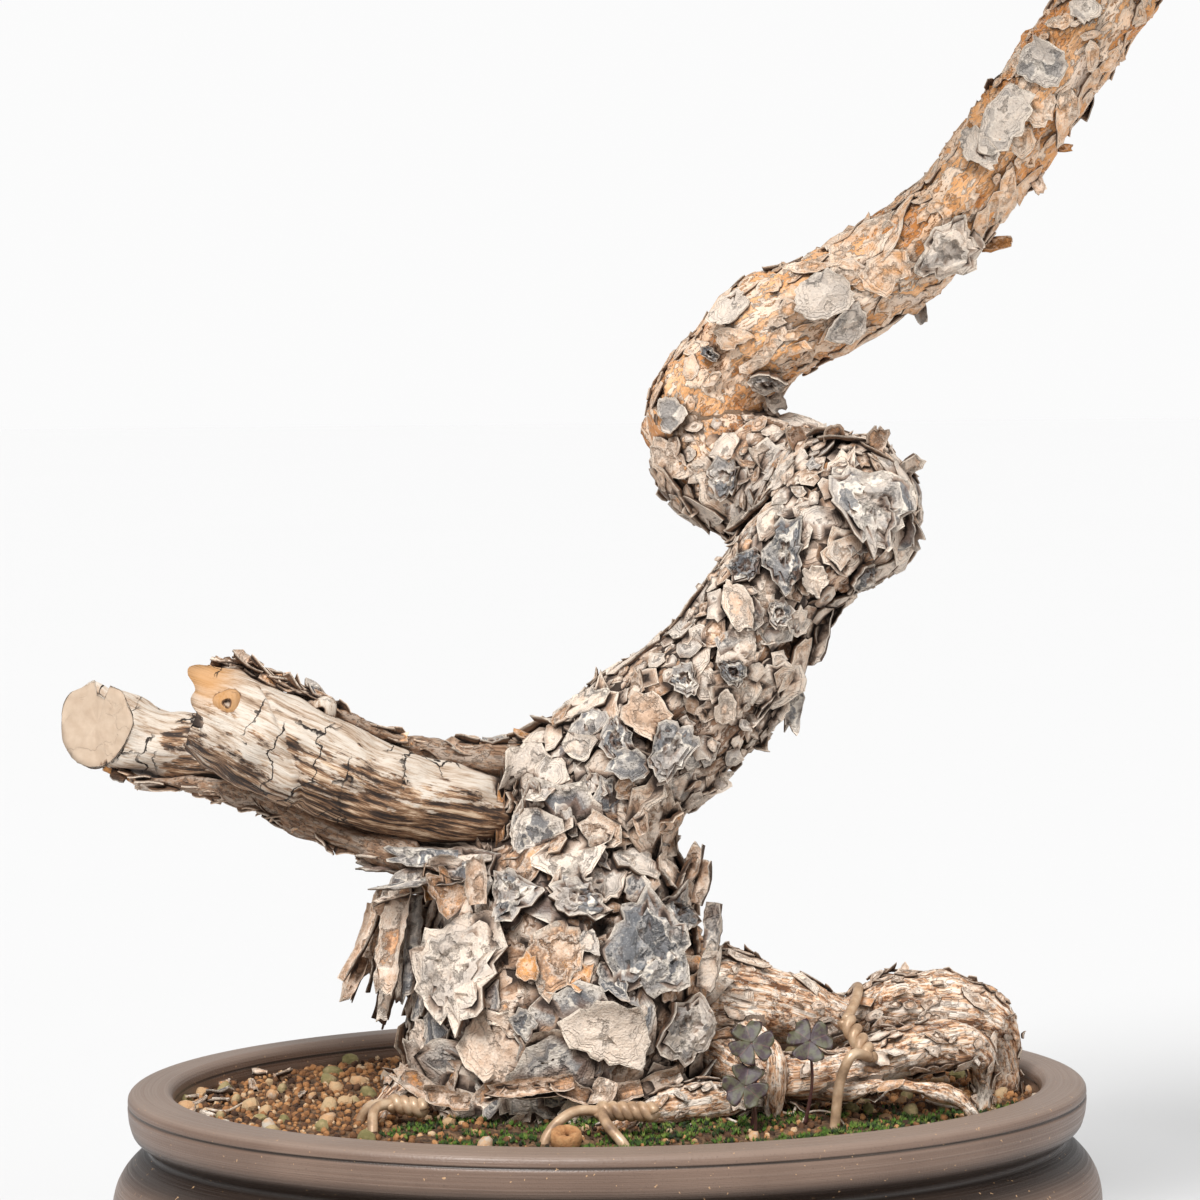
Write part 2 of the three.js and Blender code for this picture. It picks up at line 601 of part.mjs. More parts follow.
function makeClover(clover) {
  const top = vector(clover.head);
  const heart = new THREE.OctahedronGeometry(1.2).translate(top.x, top.y, top.z);
  const pieces = [makeStalk(clover), solidFrom(heart)];
  for (let i = 0; i < 3; i++) {
    const blade = leaflet().rotateX(0.25).rotateZ(clover.seed + (i * 2 * Math.PI) / 3);
    blade.rotateX(clover.tip + 0.6).translate(top.x, top.y, top.z - 0.3);
    pieces.push(solidFrom(blade));
  }
  return join(pieces);
}

// An empty seed husk that lies in the moss with its open side to the viewer, and the dent that it makes there.
function makeHusk(grow = 0) {
  const ring = [[2.2, 0], [4, 0], [4.2, 2.5], [3.6, 5], [2.4, 5], [2.2, 0]];
  const dent = [[0, -grow], [4.2 + grow, -grow], [4.2 + grow, 5 + grow], [0, 5 + grow]];
  const profile = (grow > 0 ? dent : ring).map(([r, h]) => new THREE.Vector2(r, h));
  return solidFrom(new THREE.LatheGeometry(profile, 12).rotateX(-1.25).translate(-12, -72, 82.6));
}

// Soil: fills the pot to just under the rim, mounded towards the tree, with pebbles in its surface.

function soilTop(x, y) {
  const towardsTree = Math.exp(-((x + 5) ** 2 + (y - 2) ** 2) / 3200);
  const lumps = 0.6 * Math.sin(0.35 * x + 1) * Math.sin(0.41 * y) + 0.4 * Math.sin(0.13 * x - 0.2 * y);
  return soilHeight - 3 + 5 * towardsTree + lumps;
}

function makeSoil(cuts) {
  const wallRings = [...innerProfile].reverse().map(([offset, height]) => ovalRing(offset - gap, height + gap, potSides));
  const shares = [1, 0.84, 0.64, 0.42];
  const edge = ovalRing(-1.2 - gap, 0, potSides);
  const topRings = shares.map((share) =>
    edge.map((p) => new THREE.Vector3(p.x * share, p.y * share, soilTop(p.x * share, p.y * share))),
  );
  const body = skin(
    [...wallRings.slice(0, -1), ...topRings],
    new THREE.Vector3(0, 0, floorTop + gap),
    new THREE.Vector3(0, 0, soilTop(0, 0)),
  );
  const random = seeded(31);
  const pebbles = [];
  for (let i = 0; i < 7; i++) {
    const angle = i * goldenAngle;
    const share = 0.5 + 0.4 * random();
    const x = rimInside.length * share * Math.cos(angle);
    const y = rimInside.width * share * Math.sin(angle);
    const size = 2.4 + 2.2 * random();
    const stone = new THREE.IcosahedronGeometry(size, 0).scale(1.2, 0.9, 0.8).rotateZ(6 * random());
    pebbles.push(solidFrom(stone.translate(x, y, soilTop(x, y) + 0.25 * size)));
  }
  return cuts.reduce((soil, cut) => soil.subtract(cut), join([solidFrom(body), ...pebbles]));
}

// Assembly

const tree = new THREE.Group();
tree.rotation.z = treeTurn;
const turned = (solid) => solid.rotate([0, 0, THREE.MathUtils.radToDeg(treeTurn)]);

const wood = makeTree();
const bare = makeDeadwood();
tree.add(meshOf("trunk", wood, materials.bark));
tree.add(meshOf("deadwood_branch", bare, materials.deadwood));

// Where two pads of needles would meet, the later one gives way.
let taken = join([wood, bare]);
for (const [name, shape] of Object.entries(foliage)) {
  const leafy = makeFoliage(branchLines[name] ?? upperLine, shape).subtract(taken);
  taken = taken.add(leafy);
  tree.add(meshOf("foliage_" + name, leafy, materials.needles));
}
for (const [name, wire] of Object.entries(tieWires)) {
  tree.add(meshOf("tie_wire_" + name, makeTieWire(wire), materials.wire));
}
clovers.forEach((clover, i) => {
  tree.add(meshOf("clover_" + (i + 1), makeClover(clover), materials.clover));
});
tree.add(meshOf("seed_husk", makeHusk(), materials.husk));

const cuts = [
  turned(treeInSoil()),
  ...Object.values(tieWires).flatMap((wire) => wire.tails.map((points) => turned(tail(points, gap)))),
  ...clovers.map((clover) => turned(makeStalk(clover, gap))),
  turned(makeHusk(gap)),
  makeScreen(-holeAcross, gap),
  makeScreen(holeAcross, gap),
];

const bonsai = new THREE.Group();
bonsai.add(tree);
bonsai.add(meshOf("pot", makePot(), materials.clay));
bonsai.add(meshOf("soil", makeSoil(cuts), materials.soil));
bonsai.add(meshOf("drain_screen_left", makeScreen(-holeAcross), materials.screen));
bonsai.add(meshOf("drain_screen_right", makeScreen(holeAcross), materials.screen));

export default bonsai;
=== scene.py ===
import json
import math
import random

import bmesh
import bpy
import numpy as np
from mathutils import Matrix, Vector
from mathutils.bvhtree import BVHTree

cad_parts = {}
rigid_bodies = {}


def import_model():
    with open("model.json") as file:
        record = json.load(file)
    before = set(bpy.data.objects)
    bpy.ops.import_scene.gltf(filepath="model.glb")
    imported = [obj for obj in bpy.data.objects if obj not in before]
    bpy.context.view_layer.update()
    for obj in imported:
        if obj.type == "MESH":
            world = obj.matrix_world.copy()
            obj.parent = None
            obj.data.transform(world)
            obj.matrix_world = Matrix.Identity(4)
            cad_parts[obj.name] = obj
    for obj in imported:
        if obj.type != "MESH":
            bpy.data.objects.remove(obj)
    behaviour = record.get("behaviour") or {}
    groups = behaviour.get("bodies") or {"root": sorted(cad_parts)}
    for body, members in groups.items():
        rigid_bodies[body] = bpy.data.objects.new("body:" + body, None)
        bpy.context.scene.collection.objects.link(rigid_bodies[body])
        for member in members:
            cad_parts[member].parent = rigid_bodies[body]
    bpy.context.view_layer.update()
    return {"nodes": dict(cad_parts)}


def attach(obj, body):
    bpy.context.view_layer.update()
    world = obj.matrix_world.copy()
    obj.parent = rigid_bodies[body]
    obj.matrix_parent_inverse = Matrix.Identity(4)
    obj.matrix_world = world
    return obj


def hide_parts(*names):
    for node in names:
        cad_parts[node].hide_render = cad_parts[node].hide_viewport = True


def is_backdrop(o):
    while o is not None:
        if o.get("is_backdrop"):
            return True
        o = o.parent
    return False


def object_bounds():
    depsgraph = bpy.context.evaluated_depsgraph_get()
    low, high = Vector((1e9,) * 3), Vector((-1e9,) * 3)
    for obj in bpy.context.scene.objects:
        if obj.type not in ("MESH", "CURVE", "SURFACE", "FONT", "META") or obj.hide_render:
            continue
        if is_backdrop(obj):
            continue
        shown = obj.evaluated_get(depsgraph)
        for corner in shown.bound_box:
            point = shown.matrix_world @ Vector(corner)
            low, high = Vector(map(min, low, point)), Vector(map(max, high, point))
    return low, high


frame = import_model()

# The tree is drawn as the solids are, in millimetres: u to the viewer's right, v away, w up.
# toFrame turns such points into the frame's metres.
treeTurn = math.radians(-7.5)


def toFrame(points):
    points = np.asarray(points, float).reshape(-1, 3) * 0.001
    c, s = math.cos(treeTurn), math.sin(treeTurn)
    return np.column_stack([points[:, 0] * c - points[:, 1] * s, points[:, 0] * s + points[:, 1] * c, points[:, 2]])


def unit(vectors):
    return vectors / np.maximum(np.linalg.norm(vectors, axis=-1, keepdims=True), 1e-12)


def smoothstep(low, high, x):
    t = np.clip((x - low) / (high - low), 0, 1)
    return t * t * (3 - 2 * t)


# Camera, light and floor

viewSettings = {
    "place": (-1.95, -1400, 329),  # u, v, w
    "pitch": -4.30,
    "roll": 0.26,
    "lens": 146.16,
}


def addCamera(settings):
    pitch, roll = math.radians(settings["pitch"]), math.radians(settings["roll"])
    ahead = toFrame([0, 1000 * math.cos(pitch), 1000 * math.sin(pitch)])[0]
    right = toFrame([1000, 0, 0])[0]
    up = np.cross(right, ahead)
    turnedRight = right * math.cos(roll) - up * math.sin(roll)
    turnedUp = right * math.sin(roll) + up * math.cos(roll)
    axes = Matrix(np.column_stack([turnedRight, turnedUp, -ahead]).tolist())
    data = bpy.data.cameras.new("studioCamera")
    data.lens = settings["lens"]
    data.sensor_width = 36
    data.clip_start, data.clip_end = 0.05, 50
    camera = bpy.data.objects.new("studioCamera", data)
    camera.matrix_world = Matrix.Translation(toFrame(settings["place"])[0]) @ axes.to_4x4()
    bpy.context.scene.collection.objects.link(camera)
    bpy.context.scene.camera = camera
    return camera


camera = addCamera(viewSettings)

lightSettings = {
    "backdrop": 0.968,
    "sky": 0.50,
    "lamps": [  # name, place that it shines from, softness in degrees, strength
        ("softKey", (-0.95, -1.9, 2.5), 22, 3.5),
        ("softFill", (1.7, -1.3, 0.7), 50, 0.55),
    ],
}


def addLights(settings):
    world = bpy.data.worlds.new("studioSky")
    bpy.context.scene.world = world
    world.use_nodes = True
    tree = world.node_tree
    # The sky is white to look at and dimmer as a light, as a lit backdrop behind the object is.
    seen = tree.nodes.new("ShaderNodeLightPath").outputs["Is Camera Ray"]
    strength = tree.nodes.new("ShaderNodeMapRange")
    strength.inputs["To Min"].default_value = settings["sky"]
    strength.inputs["To Max"].default_value = settings["backdrop"]
    tree.links.new(seen, strength.inputs["Value"])
    tree.links.new(strength.outputs[0], tree.nodes["Background"].inputs["Strength"])
    tree.nodes["Background"].inputs["Color"].default_value = (1, 1, 1, 1)
    for name, place, softness, power in settings["lamps"]:
        data = bpy.data.lights.new(name, "SUN")
        data.angle = math.radians(softness)
        data.energy = power
        lamp = bpy.data.objects.new(name, data)
        lamp.rotation_euler = (-Vector(place)).to_track_quat("-Z", "Y").to_euler()
        bpy.context.scene.collection.objects.link(lamp)
    bpy.context.scene.view_settings.view_transform = "Standard"


addLights(lightSettings)


# Node and mesh helpers


def shelve(shape, shelf):
    # A shape on a shelf is there for instances alone.
    bpy.context.scene.collection.objects.unlink(shape)
    shelf.objects.link(shape)


class Nodes:
    # Adds nodes to a tree. A value is a socket to link or a plain value to set, by place or by name.
    def __init__(self, tree):
        self.tree = tree

    def add(self, kind, *values, out=0, named=None, **settings):
        node = self.tree.nodes.new(kind)
        for key, value in settings.items():
            setattr(node, key, value)
        for key, value in [*enumerate(values), *(named or {}).items()]:
            if isinstance(value, bpy.types.NodeSocket):
                self.tree.links.new(value, node.inputs[key])
            elif value is not None:
                node.inputs[key].default_value = value
        return node if out is None else node.outputs[out]

    def math(self, operation, *values):
        return self.add("ShaderNodeMath", *values, operation=operation)

    def vector(self, operation, *values, out=0):
        return self.add("ShaderNodeVectorMath", *values, operation=operation, out=out)

    def scaled(self, vector, factor):
        return self.add("ShaderNodeVectorMath", vector, named={"Scale": factor}, operation="SCALE")

    def ramp(self, value, low, high, start=0.0, end=1.0):
        return self.add("ShaderNodeMapRange", value, low, high, start, end, interpolation_type="SMOOTHSTEP")

    def noise(self, at, scale, detail=3.0, rough=0.55, out=0):
        named = {"Vector": at, "Scale": scale, "Detail": detail, "Roughness": rough}
        return self.add("ShaderNodeTexNoise", named=named, out=out)

    def mixed(self, factor, a, b):
        return self.add("ShaderNodeMix", factor, named={6: a, 7: b}, out=2, data_type="RGBA")

    def blended(self, factor, a, b):
        return self.add("ShaderNodeMix", factor, named={4: a, 5: b}, out=1, data_type="VECTOR")

    def swayed(self, base, noise, share):
        # A value moved up and down by a noise that runs from 0 to 1.
        return self.math("MULTIPLY_ADD", self.math("SUBTRACT", noise, 0.5), share, base)

    def place(self):
        return self.add("ShaderNodeTexCoord", out="Object")

    def fact(self, name, out="Fac"):
        return self.add("ShaderNodeAttribute", attribute_name=name, out=out)

    def stored(self, name, kind="FLOAT"):
        return self.add("GeometryNodeInputNamedAttribute", name, data_type=kind)

    def store(self, geometry, name, value, kind="FLOAT"):
        return self.add("GeometryNodeStoreNamedAttribute", geometry, None, name, value, data_type=kind)

    def chances(self, given):
        def chance(number, low, high):
            named = {"Seed": self.math("ADD", given["Seed"], number)}
            return self.add("FunctionNodeRandomValue", None, None, low, high, named=named, out=1)

        return chance

    def scattered(self, given, surface, inside):
        # Points at least Spacing apart where inside is above 0, with the surface's normals.
        density = self.math("DIVIDE", 3.0, self.math("MULTIPLY", given["Spacing"], given["Spacing"]))
        named = {"Distance Min": given["Spacing"], "Density Max": density, "Density Factor": inside,
                 "Seed": given["Seed"]}
        kind = "GeometryNodeDistributePointsOnFaces"
        return self.add(kind, surface, out=None, distribute_method="POISSON", named=named).outputs

    def join(self, *pieces):
        node = self.add("GeometryNodeJoinGeometry", out=None)
        for piece in pieces:
            self.tree.links.new(piece, node.inputs[0])
        return node.outputs[0]


def materialNodes(name):
    material = bpy.data.materials.new(name)
    material.use_nodes = True
    tree = material.node_tree
    return material, Nodes(tree), tree.nodes["Principled BSDF"]


def finishSurface(n, surface, colour, roughness, bumpHeight=None, bumpDistance=0.001):
    link = n.tree.links.new
    link(colour, surface.inputs["Base Color"])
    if isinstance(roughness, bpy.types.NodeSocket):
        link(roughness, surface.inputs["Roughness"])
    else:
        surface.inputs["Roughness"].default_value = roughness
    if bumpHeight is not None:
        named = {"Distance": bumpDistance, "Height": bumpHeight}
        link(n.add("ShaderNodeBump", named=named), surface.inputs["Normal"])


def colourRamp(n, value, stops):
    node = n.add("ShaderNodeValToRGB", value, out=None)
    elements = node.color_ramp.elements
    while len(elements) < len(stops):
        elements.new(0.5)
    for element, (place, colour) in zip(elements, stops):
        element.position = place
        element.color = (*colour, 1)
    return node.outputs[0]


def addPiece(name, points, faces, material=None, smooth=True):
    mesh = bpy.data.meshes.new(name)
    mesh.from_pydata(np.asarray(points).tolist(), [], [tuple(face) for face in faces])
    mesh.update()
    if smooth:
        mesh.shade_smooth()
    piece = bpy.data.objects.new(name, mesh)
    bpy.context.scene.collection.objects.link(piece)
    if material is not None:
        mesh.materials.append(material)
    return piece


def setAttribute(mesh, name, values, kind="FLOAT"):
    attribute = mesh.attributes.new(name, kind, "POINT")
    field = "vector" if kind == "FLOAT_VECTOR" else "value"
    attribute.data.foreach_set(field, np.asarray(values, np.float32).ravel())


def verticesOf(mesh):
    flat = np.empty(len(mesh.vertices) * 3, np.float32)
    mesh.vertices.foreach_get("co", flat)
    return flat.reshape(-1, 3).astype(float)


def geometryTree(name, sockets):
    tree = bpy.data.node_groups.new(name, "GeometryNodeTree")
    tree.interface.new_socket("Geometry", in_out="INPUT", socket_type="NodeSocketGeometry")
    tree.interface.new_socket("Geometry", in_out="OUTPUT", socket_type="NodeSocketGeometry")
    for label, kind in sockets:
        tree.interface.new_socket(label, in_out="INPUT", socket_type="NodeSocket" + kind)
    n = Nodes(tree)
    return tree, n, tree.nodes.new("NodeGroupInput").outputs, tree.nodes.new("NodeGroupOutput").inputs[0]


def grow(piece, tree, values):
    # Runs a tree on a piece and keeps the result as its plain mesh.
    modifier = piece.modifiers.new(tree.name, "NODES")
    modifier.node_group = tree
    for item in tree.interface.items_tree:
        if item.in_out == "INPUT" and item.name in values:
            modifier[item.identifier] = values[item.name]
    settle(piece)


def settle(piece):
    evaluated = piece.evaluated_get(bpy.context.evaluated_depsgraph_get())
    mesh = bpy.data.meshes.new_from_object(evaluated)
    piece.modifiers.clear()
    piece.data = mesh
    mesh.name = piece.name


def finishPiece(piece, slot, *nodes):
    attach(piece, "root")
    if nodes:
        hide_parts(*nodes)
    count = sum(len(p.vertices) - 2 for p in piece.data.polygons)
    print(f"{piece.name}: {count} triangles")


# Limbs: a smooth line through stations of [u, v, w, radius] in millimetres


class Limb:
    def __init__(self, stations, step=1.5):
        rows = np.array(stations, float)
        points, radii = rows[:, :3], rows[:, 3]
        padded = np.vstack([2 * points[0] - points[1], points, 2 * points[-1] - points[-2]])
        fine, thick = [], []
        share = np.linspace(0, 1, 24)[:, None]
        for k in range(len(points) - 1):
            p = padded[k:k + 4]
            d = [max(np.linalg.norm(p[i + 1] - p[i]) ** 0.5, 1e-4) for i in range(3)]
            t1 = ((p[1] - p[0]) / d[0] - (p[2] - p[0]) / (d[0] + d[1]) + (p[2] - p[1]) / d[1]) * d[1]
            t2 = ((p[2] - p[1]) / d[1] - (p[3] - p[1]) / (d[1] + d[2]) + (p[3] - p[2]) / d[2]) * d[1]
            c2 = -3 * p[1] + 3 * p[2] - 2 * t1 - t2
            c3 = 2 * p[1] - 2 * p[2] + t1 + t2
            fine.append(p[1] + t1 * share + c2 * share**2 + c3 * share**3)
            thick.append(radii[k] + (radii[k + 1] - radii[k]) * smoothstep(0, 1, share[:, 0]))
        fine, thick = toFrame(np.vstack(fine)), np.concatenate(thick) * 0.001
        travelled = np.concatenate([[0], np.cumsum(np.linalg.norm(np.diff(fine, axis=0), axis=1))])
        count = max(4, int(travelled[-1] / (step * 0.001)) + 1)
        self.along = np.linspace(0, travelled[-1], count)
        self.points = np.column_stack([np.interp(self.along, travelled, fine[:, i]) for i in range(3)])
        self.radii = np.interp(self.along, travelled, thick)
        self.tangents = unit(np.gradient(self.points, axis=0))
        self.sides = np.empty_like(self.points)
        side = np.cross(self.tangents[0], (0.3, 1.0, 0.1))
        for k, tangent in enumerate(self.tangents):
            side = side - tangent * side.dot(tangent)
            side = side / np.linalg.norm(side)
            self.sides[k] = side
        self.ups = np.cross(self.tangents, self.sides)

    def ring(self, k, around):
        # Outward directions at an array of angles.
        return np.outer(np.cos(around), self.sides[k]) + np.outer(np.sin(around), self.ups[k])


def tube(limb, sides, relief=None, offset=0):
    around = np.linspace(0, 2 * math.pi, sides, endpoint=False)
    rings = []
    for k in range(len(limb.points)):
        reach = limb.radii[k] + (0 if relief is None else relief(around, k))
        rings.append(limb.points[k] + limb.ring(k, around) * np.reshape(reach * np.ones(sides), (-1, 1)))
    points = np.vstack([*rings, limb.points[0], limb.points[-1]])
    return points, tubeFaces(len(rings), sides, offset)


def tubes(limbs):
    # Several limbs, each with its number of sides, as one set of points and faces.
    points, faces = [], []
    for limb, sides in limbs:
        ring, skin = tube(limb, sides, offset=sum(map(len, points)))
        points.append(ring)
        faces += skin
    return np.vstack(points), faces


def sheetFaces(rows, columns, offset):
    # Both sides and the rim of a sheet whose back points follow its front points.
    across = columns + 1
    size = (rows + 1) * across
    faces = []
    for r in range(rows):
        for c in range(columns):
            a = offset + r * across + c
            b = a + size
            faces.append((a, a + 1, a + across + 1, a + across))
            faces.append((b + across, b + across + 1, b + 1, b))
    rim = [*range(columns), *(r * across + columns for r in range(rows)),
           *(rows * across + c for c in range(columns, 0, -1)), *(r * across for r in range(rows, 0, -1))]
    for p, q in zip(rim, rim[1:] + rim[:1]):
        p, q = p + offset, q + offset
        faces.append((q, p, p + size, q + size))
    return faces


def tubeFaces(rings, sides, offset=0):
    faces = []
    for k in range(rings - 1):
        for i in range(sides):
            j = (i + 1) % sides
            faces.append((k * sides + i, k * sides + j, (k + 1) * sides + j, (k + 1) * sides + i))
    first, last = rings * sides, rings * sides + 1
    for i in range(sides):
        j = (i + 1) % sides
        faces.append((first, j, i))
        faces.append((last, (rings - 1) * sides + i, (rings - 1) * sides + j))
    return [tuple(offset + x for x in face) for face in faces]


trunkStations = [
    [-11.5, 6, 53, 20], [-13, 5, 67, 37], [-13, 4, 78.5, 41], [-13, 4, 94.5, 42], [-12.5, 4, 110.5, 41.5],
    [-12, 4, 126.5, 38], [-9, 5, 141.5, 31], [-7, 5, 155.5, 23], [-1, 3, 169, 21.4], [9, 0, 181, 20.8],
    [23.5, -2, 193.5, 20], [36.5, -3, 208.5, 18.5], [47.5, -2, 226.5, 16.9], [57, 1, 239, 17.6],
]
elbowStations = [
    [49, -2, 228, 16.4], [60, 2, 240, 18.8], [68, 9, 247, 20.4], [68, 24, 248.5, 20], [62, 42, 249.5, 19.2],
    [51.5, 58, 252.5, 18.8], [38, 69, 259, 19], [30, 73, 270, 17.8],
]
upperStations = [
    [36, 70, 262, 15], [30.5, 73, 271.5, 17.4], [35.5, 71, 284.5, 16.2], [46.5, 64, 298.5, 16],
    [61, 58, 306.5, 15.4], [82.5, 54, 318.5, 14.6], [103.5, 50, 336, 13.6], [119.5, 46, 358, 13.2],
    [133.5, 42, 377.5, 12.9], [147.5, 36, 397, 12.7], [159.5, 30, 418.5, 12.2], [165.5, 24, 440.5, 11.4],
    [160, 16, 462.5, 10.4], [145, 10, 479, 9.6], [129, 4, 494.5, 8.6], [120.5, -4, 514.5, 7.4],
    [120.5, -11, 534.5, 6], [112.5, -16, 550.5, 4.6], [101, -18, 562, 3],
]
rootStations = {
    "right": [
        [-0.5, 2, 103, 16], [21.5, 0, 109, 15], [37.5, -2, 108.5, 13], [52, 0, 105, 10.6], [62, 1, 101.5, 8.6],
        [70.5, 3, 99, 7.2], [76.5, 5, 100.5, 10.2], [84.5, 6, 102, 12.6], [97, 8, 101.5, 12.3],
        [108, 11, 99, 9], [114, 15, 94.5, 6.4], [116.5, 20, 82.5, 5], [116.5, 22, 68, 4],
    ],
    "rightFront": [
        [29.5, -8, 93.5, 6], [42.5, -14, 88, 7], [54.5, -18, 87.5, 7.8], [68.5, -20, 90.5, 7.5],
        [83.5, -20, 94, 7.2], [96.5, -18, 96, 6.6], [104.5, -14, 95, 4.6], [107.5, -12, 86.5, 3.4],
        [107.5, -12, 72, 3],
    ],
    "front": [
        [-6, -52, 67, 3], [-2, -49, 77, 3.6], [9, -42, 81, 4.8], [23, -36, 83, 5.6], [36.5, -28, 83.5, 5.4],
        [45.5, -18, 85.5, 5],
    ],
    "thin": [
        [57.5, -20, 85.5, 2.4], [67.5, -28, 85, 2.3], [79.5, -31, 87.5, 2.3], [90.5, -32, 86.5, 2.3],
        [100.5, -34, 83, 2], [106.5, -36, 74.5, 1.6],
    ],
    "upright": [
        [37.5, -8, 101.5, 3.6], [43.5, -19, 100.5, 3.2], [47, -27, 95.5, 3.2], [47, -29, 87.5, 3],
        [46, -29, 73.5, 3],
    ],
    "left": [[-40, -6, 90.5, 5], [-54, -14, 87, 4.6], [-63, -22, 82, 4], [-69.5, -27, 72, 3]],
    "back": [[-20, 24, 96.5, 13], [-28, 42, 90.5, 9], [-40, 58, 83.5, 6.5], [-50, 68, 70, 5]],
    "backRight": [[5.5, 24, 95, 12], [21.5, 42, 90, 8.5], [39.5, 56, 84.5, 6], [51.5, 66, 71.5, 4.6]],
}
branchStations = {
    "right": [[162.5, 28, 431.5, 6], [180.5, 24, 441.5, 5.4], [200.5, 16, 441, 4.6], [220.5, 9, 432, 3.6]],
    "left": [
        [160, 17, 463.5, 6], [136, 2, 469, 5.2], [106.5, -10, 474.5, 4.6], [78.5, -18, 472, 3.8],
        [60.5, -22, 465, 3],
    ],
    "front": [[164.5, 24, 443.5, 5], [165.5, 6, 452.5, 4.2], [162.5, -14, 453.5, 3.4]],
    "back": [[146, 12, 478, 5], [148, 34, 491, 4.2], [142, 58, 496, 3.4]],
    "upperRight": [[128, 3, 496.5, 4.6], [143.5, -3, 509, 4], [163.5, -8, 512, 3.2]],
    "upperLeft": [[120.5, -6, 518.5, 4.2], [105.5, -18, 527.5, 3.6], [91.5, -28, 528, 3]],
}
stripStations = [  # bark left along the bare stubs, above and below them
    [
        [2, 4, 179, 9.5], [-14, 2, 177, 9.5], [-31, 0, 177, 6.6], [-50, -3, 180, 3.4], [-68, -8, 187, 2.2],
        [-82, -11, 195, 2.2], [-97, -12, 202.5, 2.2], [-110, -12, 207.5, 2],
    ],
    [
        [-56, -13, 150, 5.5], [-76, -10, 157, 5], [-90, -4, 162, 4.6], [-104, 6, 166.5, 3.6],
        [-120, 16, 169, 2.6], [-134, 20, 170, 2.2], [-146, 24, 174, 1.8],
    ],
]

stubStations = {
    "thick": [
        [-13, 4, 159.5, 9], [-29, 2, 161.5, 11], [-48, -6, 166, 11.8], [-65, -11, 170.5, 13],
        [-81, -14, 177.5, 14.2], [-96, -15, 185, 14.4], [-107, -15, 190.5, 13.6], [-117, -15, 194.5, 12.6],
    ],
    "thin": [
        [-71, 0, 172.5, 8], [-91, 12, 176.5, 9.6], [-111, 22, 178, 9.8], [-131, 27, 179.5, 10.4],
        [-147, 29, 184, 12.0], [-166, 31, 192, 12.6],
    ],
}

trunkLimb = Limb(trunkStations)
elbowLimb = Limb(elbowStations)
upperLimb = Limb(upperStations)
rootLimbs = {name: Limb(rows) for name, rows in rootStations.items()}
branchLimbs = {name: Limb(rows) for name, rows in branchStations.items()}
stripLimbs = [Limb(rows) for rows in stripStations]


# Tree core: all limbs as one skin, with attributes that tell the bark where it grows

coreSettings = {
    "sides": {"trunk": 40, "elbow": 40, "upper": 40},
    "voxel": 0.00145,
    "smoothing": 8,
    "lumps": 0.0075,
    # each limb: share of its start and end on the way from old grey bark (0) to young orange bark (1)
    "age": {"trunk": (0.1, 0.42), "elbow": (0.42, 0.55), "upper": (0.6, 1.0), "root": (0.25, 0.3),
            "branch": (0.9, 1.0), "strip": (0.3, 0.3)},
    # and a number for each stretch, so that every stretch can have its own plates
    "zone": {"trunk": (0, 2), "elbow": (2, 3), "upper": (3, 4), "branch": (4.2, 4.4), "root": (5, 5), "strip": (6, 6)},
}


def coreLimbs():
    limbs = [(trunkLimb, "trunk"), (elbowLimb, "elbow"), (upperLimb, "upper")]
    limbs += [(limb, "root") for limb in rootLimbs.values()]
    limbs += [(limb, "branch") for limb in branchLimbs.values()]
    return limbs + [(limb, "strip") for limb in stripLimbs]


def makeCore(settings):
    core = addPiece("treeCore", *tubes((limb, settings["sides"].get(kind, 20)) for limb, kind in coreLimbs()))
    remesh = core.modifiers.new("union", "REMESH")
    remesh.mode = "VOXEL"
    remesh.voxel_size = settings["voxel"]
    soften = core.modifiers.new("soften", "SMOOTH")
    soften.factor = 0.5
    soften.iterations = settings["smoothing"]
    settle(core)
    grow(core, lumpTree(), {"Height": settings["lumps"]})
    describeCore(core.data, settings)
    return core


def lumpTree():
    tree, n, given, result = geometryTree("coreLumps", [("Height", "Float")])
    at, normal = n.add("GeometryNodeInputPosition"), n.add("GeometryNodeInputNormal")
    lump = n.math("SUBTRACT", n.noise(at, 34, 2), 0.5)
    edged = n.math("SUBTRACT", n.add("ShaderNodeTexVoronoi", named={"Vector": at, "Scale": 62.0}), 0.42)
    push = n.math("MULTIPLY", n.math("ADD", lump, n.math("MULTIPLY", edged, -0.35)), given["Height"])
    made = n.add("GeometryNodeSetPosition", given["Geometry"], None, None, n.scaled(normal, push))
    n.tree.links.new(made, result)
    return tree


